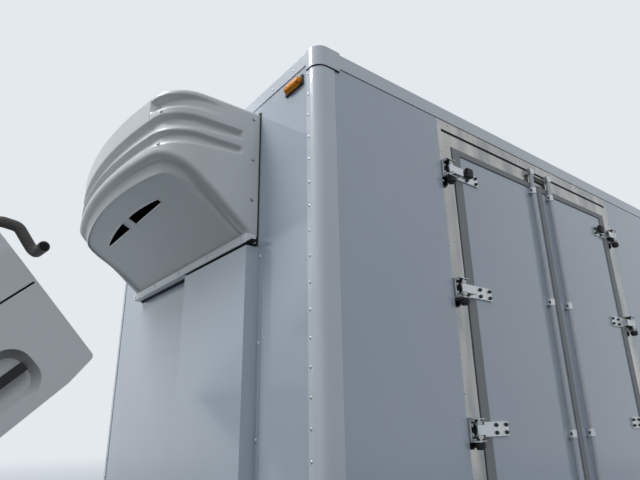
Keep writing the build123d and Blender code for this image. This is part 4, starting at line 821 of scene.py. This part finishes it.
# %% Pieces of a leaf
HINGE_HEIGHTS = (1020, 1550, 2080, 2610)
SIDE_FRONT_EDGE, SIDE_REAR_EDGE, REAR_EDGE = 756, 2184, 954
GUIDE_SHARES = (0.1, 0.315, 0.645, 0.973)
DOOR_BOTTOM = 955
SEAL_LAP, SEAL_SIDE, SEAL_TOP, SEAL_OUT = 2, 50, 27, (0.4, 5)
BAR_FROM_MIDDLE, BAR_OUT, BAR_UNDER, SLEEVE_RADIUS, GUIDE_HALF = 82, 15, 40, 11.4, 16.5
LEAVES = (
    # body, wall, hinge edge, direction of the leaf, middle of the pair, top, reach of the bar over the top
    ("side_door_front", "left", SIDE_FRONT_EDGE, 1, 1470, 2738, 62),
    ("side_door_rear", "left", SIDE_REAR_EDGE, -1, 1470, 2738, 62),
    ("rear_door_left", "rear", -REAR_EDGE, 1, 0, 2790, 40),
    ("rear_door_right", "rear", REAR_EDGE, -1, 0, 2790, 40),
)


def rising(start, way, first, second):
    """Two distances from a start, along a direction of +1 or -1, as a rising pair."""
    return sorted((start + way * first, start + way * second))


def upright_rod(radius, low, high):
    """A round rod along v between two heights."""
    points, faces = lathe([(radius, -high), (radius, -low)], 14)
    return points[:, [0, 2, 1]] * (1, -1, 1), faces


def leaf_details(body, wall, edge, way, middle, top, bar_over):
    """Seals round a leaf, bolts of its hinge straps and of its bar's guides, and the bar's sleeves."""
    name = body.replace("door_", "")
    full = (DOOR_BOTTOM - SEAL_LAP, top + SEAL_LAP)
    along = rising(edge, way, SEAL_SIDE - SEAL_LAP, abs(middle - edge) - 20)
    bands = ((rising(edge, way, -SEAL_LAP, SEAL_SIDE), full), (along, (top - SEAL_TOP, full[1])),
             (along, (full[0], DOOR_BOTTOM + SEAL_TOP)))
    seals = join([bar(u, v, SEAL_OUT) for u, v in bands])
    bolts = [(edge + way * out, z + up, 6.2) for z in HINGE_HEIGHTS for out in (80, 145) for up in (-14, 14)]
    bar_u = middle - way * BAR_FROM_MIDDLE
    heights = [DOOR_BOTTOM + share * (top - DOOR_BOTTOM) for share in GUIDE_SHARES]
    guides = [(bar_u + out, z, 14.6) for z in heights for out in (-20, 20)]
    marks = [DOOR_BOTTOM - BAR_UNDER, *heights, top + bar_over]
    spans = [(low + GUIDE_HALF, high - GUIDE_HALF) for low, high in zip(marks, marks[1:])]
    sleeves = moved(join([upright_rod(SLEEVE_RADIUS, *span) for span in spans]), (bar_u, 0, BAR_OUT))
    piece(name + "_seals", on(wall, seals), SEAL, body, bevel=0.0018)
    piece(name + "_strap_bolts", on(wall, copies(hex_head(6.5, 8), bolts)), CAST, body)
    piece(name + "_guide_bolts", on(wall, copies(hex_head(5, 5), guides)), CAST, body)
    piece(name + "_bar_sleeves", on(wall, sleeves), ZINC, body, smooth=50)


for row in LEAVES:
    leaf_details(*row)

# %% [markdown]
# ## Hinge boxes of the side door
# Each fixed hinge plate of the side door sits in a shallow box of thin sheet: two flat cheeks and an outer
# wall, with a black pin end below. A thin black sheet on the box's back is painted shade inside the box. The
# wall is cut low in its middle, because the strap passes there when the door stands wide open. The boxes
# belong to the body, so they stay while the leaves swing.

# %% Hinge boxes, pin ends and plate bolts
PIN_SETBACK = 53
plates, ends, boxes, box_shades = [], [], [], []
for edge, way in ((SIDE_FRONT_EDGE, 1), (SIDE_REAR_EDGE, -1)):
    pin = edge - way * PIN_SETBACK
    cheek, wall = rising(pin, way, -34, 24), rising(pin, way, -34, -31)
    for z in HINGE_HEIGHTS:
        ends.append((pin, z, 22))
        plates += [(pin - way * 22, z + up, 6.8) for up in (-17, 17)]
        # Two cheeks, the low outer wall, its two corner tabs, and a black back that is painted shade inside
        # the box.
        boxes += [bar(cheek, (z + up - 1.5, z + up + 1.5), (6, 37)) for up in (-38, 38)]
        boxes.append(bar(wall, (z - 36.5, z + 36.5), (6, 13)))
        boxes += [bar(wall, rising(z, up, 29, 36.5), (13, 30)) for up in (-1, 1)]
        box_shades.append(bar((cheek[0] + 4, cheek[1] - 2), (z - 36, z + 36), (6.1, 6.7)))
stub = join([upright_rod(19, -62, -44), upright_rod(14, -68, -62)])
piece("side_pin_ends", on("left", copies(stub, ends)), RUBBER, smooth=50)
piece("side_plate_bolts", on("left", copies(hex_head(7, 7), plates)), STAINLESS)
piece("side_hinge_boxes", on("left", join(boxes)), STAINLESS, bevel=0.0008)
piece("side_hinge_painted_shades", on("left", join(box_shades)), RUBBER)

# %% [markdown]
# ## What stands between and around the leaves
# A rubber strip closes the gap between two leaves and rides on the leaf that shuts last. Screws follow the
# edge of the side door's frame, a slot runs through its header as a black bar of painted shade, a keeper
# takes the upper bar ends, and a black stop on each leaf keeps it off the wall when it is thrown wide open.

# %% Frame screws, meeting seals, keeper and stops


def blocks(rows, pair=False):
    """A bar-shaped piece for each row, or a mirrored pair of bars."""
    for name, material, body, wall, u, v, w, bevel in rows:
        form = bar(u, v, w)
        piece(name, on(wall, both(form) if pair else form), material, body, bevel=bevel)


edge_screws = [(u, z, 0.2) for u in (677, 2263) for z in np.arange(950, 2860, 146)]
edge_screws += [(u, 2852, 0.2) for u in np.arange(750, 2200, 145)]
piece("side_frame_screws", on("left", copies(screw_head(5, 3), edge_screws)), STAINLESS, smooth=60)
blocks((
    # name, finish, body, wall, spans of u, v and w, width of the soft edges
    ("side_meeting_seal", SEAL, "side_door_front", "left", (1451, 1489), (957, 2736), (0.6, 6), 0.002),
    ("rear_meeting_seal", SEAL, "rear_door_left", "rear", (-19, 19), (957, 2788), (0.6, 6), 0.002),
    # The header slot is a black bar of painted shade.
    ("side_header_slot", DEEP, "chassis", "left", (697, 2243), (2805.5, 2818.5), (-7.5, -1), 0),
    ("side_bar_keeper", CAST, "chassis", "left", (1410, 1530), (2764, 2792), (0.4, 7), 0.001),
    ("side_door_front_stop", RUBBER, "side_door_front", "left", (822, 864), (2609, 2652), (6.5, 26), 0.004),
    ("side_door_rear_stop", RUBBER, "side_door_rear", "left", (2076, 2118), (2609, 2652), (6.5, 26), 0.004),
))

# %% [markdown]
# ## Dark joint under the corner caps
# The cast cap on each front corner sits on its post with a thin joint, dark with shade. A joint could be a
# cut in the cap, but a fine black rubber bead along its lower edge, painted shade for the joint, reads the
# same and leaves the solid alone. Its path is straight, then a quarter circle round the post, then straight
# again.

# %% Joint under the corner caps
HALF_WIDTH, POST_RADIUS = 1050, 42
JOINT_PROUD, JOINT_FRONT, JOINT_SIDE, JOINT_HEIGHT, JOINT_RADIUS = 3.6, 61, 103, 2850.5, 2.8
a = np.linspace(0, math.pi / 2, 10)
radius = POST_RADIUS + JOINT_PROUD
arc = np.stack([HALF_WIDTH - POST_RADIUS + radius * np.sin(a), POST_RADIUS - radius * np.cos(a)], 1)
flat = np.vstack([(HALF_WIDTH - JOINT_FRONT, -JOINT_PROUD), arc, (HALF_WIDTH + JOINT_PROUD, JOINT_SIDE)])
joint = np.column_stack([flat, np.full(len(flat), JOINT_HEIGHT)])
beads = join([tube(joint * (side, 1, 1), JOINT_RADIUS) for side in (1, -1)])
piece("cap_joints", on("plan", beads), RUBBER)

# %% [markdown]
# ## Pieces that tilt with the cab
# The cab's pieces are laid out with the cab lowered: x across, y behind its rear plane and a height. The
# same turn about the pivot as the solids' own carries them to the parked, tilted place. So a wiper or a seam
# can be measured on an upright cab, which is far easier than on a tilted one.

# %% From the lowered cab to the tilted one
CAB_TURN = math.radians(44)
CAB_PIVOT = np.array((0, -1280, 680.0))
HOSE_END, HOSE_WAY = np.array((982, 60, 1219.0)), np.array((77, 5, -6.0))


def tilted(form):
    """A form on the lowered cab, turned about the pivot: y cos - z sin, y sin + z cos."""
    x, y, z = (form[0] - CAB_PIVOT).T
    sin, cos = math.sin(CAB_TURN), math.cos(CAB_TURN)
    turned = np.stack([x, y * cos - z * sin, y * sin + z * cos], 1) + CAB_PIVOT
    return on("cab", (turned, form[1]))


def laid(form, wall, place):
    """A form whose u, v and w follow a wall's directions, moved to a place in millimetres."""
    return form[0] @ np.array(WALLS[wall][1], float) + place, form[1]


# The seams and the hose's open end are black pieces of painted shade in the groove and the bore.
piece("cab_seams", tilted(both(bar((943, 949), (-412, 1), (1161, 1165)))), DEEP, "cab")
bore = tube([HOSE_END - 0.02 * HOSE_WAY, HOSE_END + 0.006 * HOSE_WAY], 10.5, 16)
piece("cab_hose_bore", tilted(bore), DEEP, "cab")

# %% [markdown]
# ## Seals of the cab's windows
# A pane is set in a rubber profile with round corners. Its path is a polygon with a smooth curve at each
# corner, bent to the slope of the windscreen or of the side, and a round bar follows it.

# %% Window seals
SCREEN = ((-800, 1330), (800, 1330), (735, 2020), (-735, 2020))
REAR_PANE = ((-520, 1430), (520, 1430), (520, 1850), (-520, 1850))
DOOR_PANE = ((-1250, 1400), (-470, 1400), (-470, 1950), (-1050, 1950))


def rounded_path(corners, radius, steps=6):
    """A flat closed outline with round corners: between two tangent points P and Q about the corner C the
    arc is P (1 - t)^2 + 2 C t (1 - t) + Q t^2."""
    corners = np.asarray(corners, float)
    back = np.roll(corners, 1, 0) - corners
    ahead = np.roll(corners, -1, 0) - corners
    back /= np.linalg.norm(back, axis=1)[:, None]
    ahead /= np.linalg.norm(ahead, axis=1)[:, None]
    t = np.linspace(0, 1, steps)[None, :, None]
    first, last = corners + radius * back, corners + radius * ahead
    arcs = first[:, None] * (1 - t) ** 2 + 2 * corners[:, None] * t * (1 - t) + last[:, None] * t ** 2
    return arcs.reshape(-1, 2)


def screen_y(z):
    """The windscreen's slope on the lowered cab: 380 back over a rise of 860."""
    return -1150 - (2150 - z) * 380 / 860


def side_x(z):
    """The cab's side above the belt line leans in by 75 over 890."""
    return 950 - np.maximum(z - 1260, 0) * 75 / 890


screen, rear = rounded_path(SCREEN, 75), rounded_path(REAR_PANE, 75)
paths = (np.column_stack([screen[:, 0], screen_y(screen[:, 1]) + 7, screen[:, 1]]),
         np.column_stack([rear[:, 0], np.full(len(rear), 10.0), rear[:, 1]]))
panes = join([tube(path, 10, loop=True) for path in paths])
piece("cab_window_seals", tilted(panes), RUBBER, "cab", smooth=60)
window = rounded_path(DOOR_PANE, 50)
for label, side in (("left", 1), ("right", -1)):
    path = np.column_stack([side * (side_x(window[:, 1]) - 6), window])
    sill = bar(rising(0, side, 938, 947), (-1235, -485), (1382, 1396))
    seal = join([tube(path, 9, loop=True), sill])
    piece("cab_door_seal_" + label, tilted(seal), RUBBER, "cab_door_%s_body" % label, smooth=60)

# %% [markdown]
# ## Wipers and mirror glasses
# A wiper is a bent arm from a boss below the windscreen to a blade that lies on the glass. Arm and blade are
# round bars whose points follow the windscreen's slope. The mirror glasses are thin plates.

# %% Wipers and mirrors
ARM_HEIGHTS, BLADE_HEIGHTS = np.array((1300.0, 1330, 1375)), np.array((1340.0, 1410))
wipers = []
for x in (-520, 60):
    arm = np.column_stack([(x, x + 60, x + 330), screen_y(ARM_HEIGHTS) - (12, 20, 16), ARM_HEIGHTS])
    blade = np.column_stack([(x + 80, x + 580), screen_y(BLADE_HEIGHTS) - 2, BLADE_HEIGHTS])
    boss = laid(lathe([(20, 0), (20, 16), (12, 22)], 14), "front", (x, screen_y(1300) + 6, 1300))
    wipers += [tube(arm, 6), tube(blade, 6, 6), boss]
piece("cab_wipers", tilted(join(wipers)), PLASTIC, "cab", smooth=50)
glasses = both(bar((1044, 1116), (-1425.4, -1423.4), (1352, 1648)))
piece("cab_mirror_glasses", tilted(glasses), MIRROR, "cab")

# %% [markdown]
# ## The cab's front
# Dark slats lie across the grille's opening inside a painted frame. Each headlamp is a bright bowl with a
# clear domed glass, both turned profiles. An indicator sits on each side behind the front corner.

# %% Grille, headlamps and side indicators
FRAME_BARS = (
    # spans across and in height: top, bottom, right and left
    ((-612, 612), (1108, 1126)), ((-612, 612), (954, 970)),
    ((-612, -594), (954, 1126)), ((594, 612), (954, 1126)),
)
LAMP_Y, LAMP_HEIGHT = -1620.5, 800
LAMP_ROUNDS = ((700, 60), (802, 38))


def lamp_parts(profile):
    """A profile, given for a lamp's radius, turned for each lamp and set on the front at both sides."""
    lamps = [laid(lathe(profile(r), 32), "front", (x, LAMP_Y, LAMP_HEIGHT)) for x, r in LAMP_ROUNDS]
    return tilted(both(join(lamps)))


slats = join([bar((-585, 585), (-1629, -1621), (z, z + 11)) for z in np.arange(976, 1100, 24)])
piece("cab_grille_slats", tilted(slats), CHASSIS, "cab", bevel=0.002)
surround = join([bar(u, (-1631, -1600), v) for u, v in FRAME_BARS])
piece("cab_grille_frame", tilted(surround), CAB_PAINT, "cab", bevel=0.003)
bowls = lamp_parts(lambda r: [(r, 0), (r, 8), (r - 7, 9), (r - 9, 3)])
piece("cab_lamp_rings", bowls, STAINLESS, "cab", smooth=40)
domes = lamp_parts(lambda r: [(r - 9, 3), (0.8 * r - 7, 8), (0.4 * r, 12), (2, 13)])
piece("cab_lamp_glasses", domes, CLEAR, "cab", smooth=60)
blinkers = both(laid(domed(34, 13, 9), "left", (949.5, -1440, 1010)))
piece("cab_side_indicators", tilted(blinkers), AMBER, "cab", smooth=40)

# %% [markdown]
# ## Tyres
# A tyre's outside is a profile turned about its axle. Its tread could be a drawn pattern, but then the
# tyre's edge would stay smooth, so points are moved inwards instead: grooves run round, and cross grooves
# leave blocks between them.

# %% Tyres
SIDEWALL = ((-78, 206), (-80, 222), (-86, 246), (-94, 270), (-97.4, 292), (-96, 318), (-92, 340), (-88, 356))
TREAD_HALF, CROWN_RADIUS, CROWN_FALL = 84, 384.8, 0.0011
TREAD_LOW, TREAD_DEPTH, BLOCKS, STEPS_IN_BLOCK = 370, 11, 60, 6
GROOVE_PLACES, GROOVE_HALF = (14.0, 49.0), 4.2
CROSS_SHARE, CROSS_FROM, CROSS_DEPTH, CROSS_LEAN = 0.3, 20, 0.75, 0.012
WHEEL_Z = 0.385
WHEELS = (
    # place, tyre centres across the truck, disc face and hub end across it, nut circle, hub radius
    ("front_left", (830,), 855, 865, 88, 60), ("front_right", (-830,), 855, 865, 88, 60),
    ("rear_left", (668, 898), 843, 943, 108, 75), ("rear_right", (-668, -898), 843, 943, 108, 75),
)


def tyre_form():
    """Radius = profile radius less the depth of the tread at that angle and place. A groove round the tyre
    is the bell exp(-(distance / width)^4); a cross groove takes a share of each block."""
    side = np.array(SIDEWALL, float)
    tread = np.linspace(-TREAD_HALF, TREAD_HALF, 49)
    crown = np.stack([tread, CROWN_RADIUS - CROWN_FALL * tread ** 2], 1)
    x, r = np.concatenate([side, crown, side[::-1] * (-1, 1)]).T[:, None]
    a = full_turn(BLOCKS * STEPS_IN_BLOCK)[:, None]
    rings = sum(np.exp(-((np.abs(x) - place) / GROOVE_HALF) ** 4) for place in GROOVE_PLACES)
    lead = (a * BLOCKS / (2 * math.pi) + CROSS_LEAN * np.abs(x)) % 1
    cross = (lead < CROSS_SHARE) * (np.abs(x) > CROSS_FROM) * CROSS_DEPTH
    radius = r - TREAD_DEPTH * (r > TREAD_LOW) * np.clip(np.maximum(rings, cross), 0, 1)
    points = np.stack(np.broadcast_arrays(x, radius * np.cos(a), radius * np.sin(a)), -1)
    return grid(points, round_u=True, round_v=True)


def axle(place):
    """The middle of a tyre's box along the truck, at the height of the axles."""
    low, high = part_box("tyre_" + place)
    return np.array((0, (low[1] + high[1]) / 2, WHEEL_Z))


points, faces = tyre_form()
print("one tyre has", len(faces[0]) * 2, "triangles")
for place, centres, *_ in WHEELS:
    rubber = join([(points * MM + axle(place) + (x * MM, 0, 0), faces) for x in centres])
    ring = piece("tyre_%s_rubber" % place, rubber, TYRE, "wheel_" + place, smooth=35)
    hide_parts("tyre_" + place)

# %% [markdown]
# ## Wheel nuts and hub caps
# Six nuts stand in a circle on each wheel's disc, and a cap closes the hub. A front wheel's disc bulges out
# and a rear wheel's lies deep inside, which is how the two differ to the eye.

# %% Wheel nuts and hub caps
NUTS, FIRST_NUT = 6, 0.26
for place, _, disc_x, hub_x, circle, hub_r in WHEELS:
    a = full_turn(NUTS) + FIRST_NUT
    spots = np.stack([circle * np.cos(a), circle * np.sin(a), np.full(NUTS, disc_x)], 1)
    nuts = copies(hex_head(14, 20), spots)
    edge = hub_r - 3
    cap = lathe([(edge, hub_x - 2), (edge, hub_x + 7), (edge - 9, hub_x + 14), (14, hub_x + 17)], 32)
    for label, form, metal in (("nuts", nuts, CAST), ("hub_cap", cap, WHEEL_PAINT)):
        points, faces = laid(form, place.split("_")[1], axle(place) / MM)
        name = "wheel_%s_%s" % (place, label)
        piece(name, (points * MM, faces), metal, "wheel_" + place, smooth=40)

# %% [markdown]
# ## Lamps, plates and small pieces underneath
# Each tail lamp is one housing with three lenses side by side, hung on an arm. The number plates are blank
# white sheets. Mud flaps hang behind the rear wheels, amber reflectors and bolts line the frame, and the
# tank has its cap.

# %% Ends and underside
REAR_AXLE_Y = 2850
TAIL_HEIGHTS, TAIL_OUT = (641, 739), (-10, -6)
blocks((
    ("tail_amber", AMBER, "chassis", "rear", (-898, -818), TAIL_HEIGHTS, TAIL_OUT, 0.002),
    ("tail_clear", CLEAR, "chassis", "rear", (-814, -764), TAIL_HEIGHTS, TAIL_OUT, 0.002),
    ("tail_red", RED, "chassis", "rear", (-760, -622), TAIL_HEIGHTS, TAIL_OUT, 0.002),
    ("tail_lamp_arms", PLASTIC, "chassis", "rear", (-619, -397), (669, 711), (-51, -29), 0.001),
), pair=True)
blocks((
    ("rear_plate", PLATE, "chassis", "rear", (130, 640), (434, 546), (-19.6, -17), 0.0008),
    ("front_plate", PLATE, "chassis", "cab", (-255, 255), (-1803, -1800.4), (392, 502), 0.0008),
))
# A flap and the strap that it hangs on: spans behind the rear axle and in height.
FLAPS = (((414, 419), (240, 622)), ((332, 420), (619, 624)))
flaps = join([both(bar((562, 1003), rising(REAR_AXLE_Y, 1, *span), heights)) for span, heights in FLAPS])
piece("mud_flaps", on("cab", flaps), RUBBER, bevel=0.001)
marks = both(join([laid(domed(42, 15, 6), "left", (989.6, y, 640)) for y in (760, 1500, 2000)]))
piece("side_reflectors", on("cab", marks), AMBER, smooth=40)
cap = moved(lathe([(34, -2), (34, 14), (29, 18), (29, 26), (24, 29)], 24), (-600, 1250, 700))
piece("fuel_cap", on("cab", cap), CAST, smooth=40)
bolt_places = [(y, z, 0) for y in np.arange(-1250, 4300, 240) for z in (640, 740)]
bolts = both(laid(copies(hex_head(8, 7), bolt_places), "left", (395.2, 0, 0)))
piece("frame_bolts", on("cab", bolts), CAST)

# %% [markdown]
# ## Floor and light
# A pale floor and a pale sky-like background, seen by the camera and in reflections. The light is soft: a
# broad lamp high in front on the truck's right, a weaker one on its left, one behind, and the even light of
# the background. Only the first lamp is mirrored, because three bright squares would clip to white.

# %% Stage
FLOOR_SIZE, FLOOR_NEAR, FLOOR_FAR = 400.0, 4.0, 26.0
FLOOR_SEEN, FLOOR_BOUNCE = "#BEC3C7", "#2E3032"
BACKGROUND, SKY_LIGHT = "#E4E9EE", "#DCE6F2"
SKY_RISE = {"From Min": 0.0, "From Max": 0.9, "To Min": 0.14, "To Max": 0.95}
LAMPS = (
    # name, place, power in watts, size in metres, whether it is mirrored
    ("key", (-3.5, -8.0, 12.0), 1050.0, 5.0, True),
    ("fill", (9.0, -4.0, 9.0), 220.0, 7.0, False),
    ("back", (-6.0, 9.0, 8.0), 500.0, 7.0, False),
)
LAMPS_AIM = Vector((0, 0, 1.5))


def make_floor():
    """A large square of concrete: pale where it is seen, greyer where it only bounces light. Far off it
    takes the background's colour by t = (r - near) / (far - near)."""
    material = bpy.data.materials.new("pale_floor")
    material.use_nodes = True
    tree = material.node_tree
    tree.nodes.clear()
    bounce = add(tree, "ShaderNodeLightPath").outputs["Is Diffuse Ray"]
    tones = {0: bounce, 6: linear(FLOOR_SEEN), 7: linear(FLOOR_BOUNCE)}
    tint = add(tree, "ShaderNodeMix", tones, data_type="RGBA").outputs[2]
    concrete = add(tree, "ShaderNodeBsdfPrincipled", {"Base Color": tint, "Roughness": 0.85})
    place = add(tree, "ShaderNodeTexCoord").outputs["Object"]
    reach = add(tree, "ShaderNodeVectorMath", {"Vector": place}, operation="LENGTH").outputs["Value"]
    span = {"Value": reach, "From Min": FLOOR_NEAR, "From Max": FLOOR_FAR}
    far = add(tree, "ShaderNodeMapRange", span, interpolation_type="SMOOTHSTEP").outputs["Result"]
    seen = add(tree, "ShaderNodeMath", {0: 1.0, 1: bounce}, operation="SUBTRACT").outputs[0]
    share = add(tree, "ShaderNodeMath", {0: far, 1: seen}, operation="MULTIPLY").outputs[0]
    glow = add(tree, "ShaderNodeEmission", {"Color": linear(BACKGROUND), "Strength": 1.0}).outputs[0]
    mix = add(tree, "ShaderNodeMixShader", {0: share, 1: concrete.outputs["BSDF"], 2: glow})
    add(tree, "ShaderNodeOutputMaterial", {"Surface": mix.outputs[0]})
    mesh = bpy.data.meshes.new("floor")
    h = FLOOR_SIZE / 2
    mesh.from_pydata([(-h, -h, 0), (h, -h, 0), (h, h, 0), (-h, h, 0)], [], [(0, 1, 2, 3)])
    mesh.materials.append(material)
    floor = bpy.data.objects.new("floor", mesh)
    bpy.context.scene.collection.objects.link(floor)


def make_world():
    """Even light that grows with height; the camera, mirrors and glass see the pale background instead."""
    world = bpy.data.worlds.new("studio")
    world.use_nodes = True
    tree = world.node_tree
    tree.nodes.clear()
    ray = add(tree, "ShaderNodeLightPath").outputs
    inputs = {0: ray["Is Glossy Ray"], 1: ray["Is Transmission Ray"]}
    also = add(tree, "ShaderNodeMath", inputs, operation="ADD", use_clamp=True).outputs[0]
    inputs = {0: ray["Is Camera Ray"], 1: also}
    seen = add(tree, "ShaderNodeMath", inputs, operation="ADD", use_clamp=True).outputs[0]
    way = add(tree, "ShaderNodeTexCoord").outputs["Generated"]
    height = add(tree, "ShaderNodeSeparateXYZ", {"Vector": way}).outputs["Z"]
    strength = add(tree, "ShaderNodeMapRange", {"Value": height, **SKY_RISE}).outputs["Result"]
    light = add(tree, "ShaderNodeBackground", {"Color": linear(SKY_LIGHT), "Strength": strength})
    shown = add(tree, "ShaderNodeBackground", {"Color": linear(BACKGROUND), "Strength": 1.0})
    mix = add(tree, "ShaderNodeMixShader", {0: seen, 1: light.outputs[0], 2: shown.outputs[0]})
    add(tree, "ShaderNodeOutputWorld", {"Surface": mix.outputs[0]})
    bpy.context.scene.world = world


def make_lamps():
    """Square area lamps that all look at the middle of the truck."""
    for name, place, power, size, mirrored in LAMPS:
        lamp = bpy.data.lights.new(name, "AREA")
        lamp.energy = power
        lamp.size = size
        thing = bpy.data.objects.new(name, lamp)
        thing.location = place
        thing.visible_glossy = mirrored
        thing.rotation_euler = (LAMPS_AIM - Vector(place)).to_track_quat("-Z", "Y").to_euler()
        bpy.context.scene.collection.objects.link(thing)


make_floor()
make_world()
make_lamps()
bpy.context.scene.view_settings.view_transform = "Standard"
print("lamps:", [row[0] for row in LAMPS])
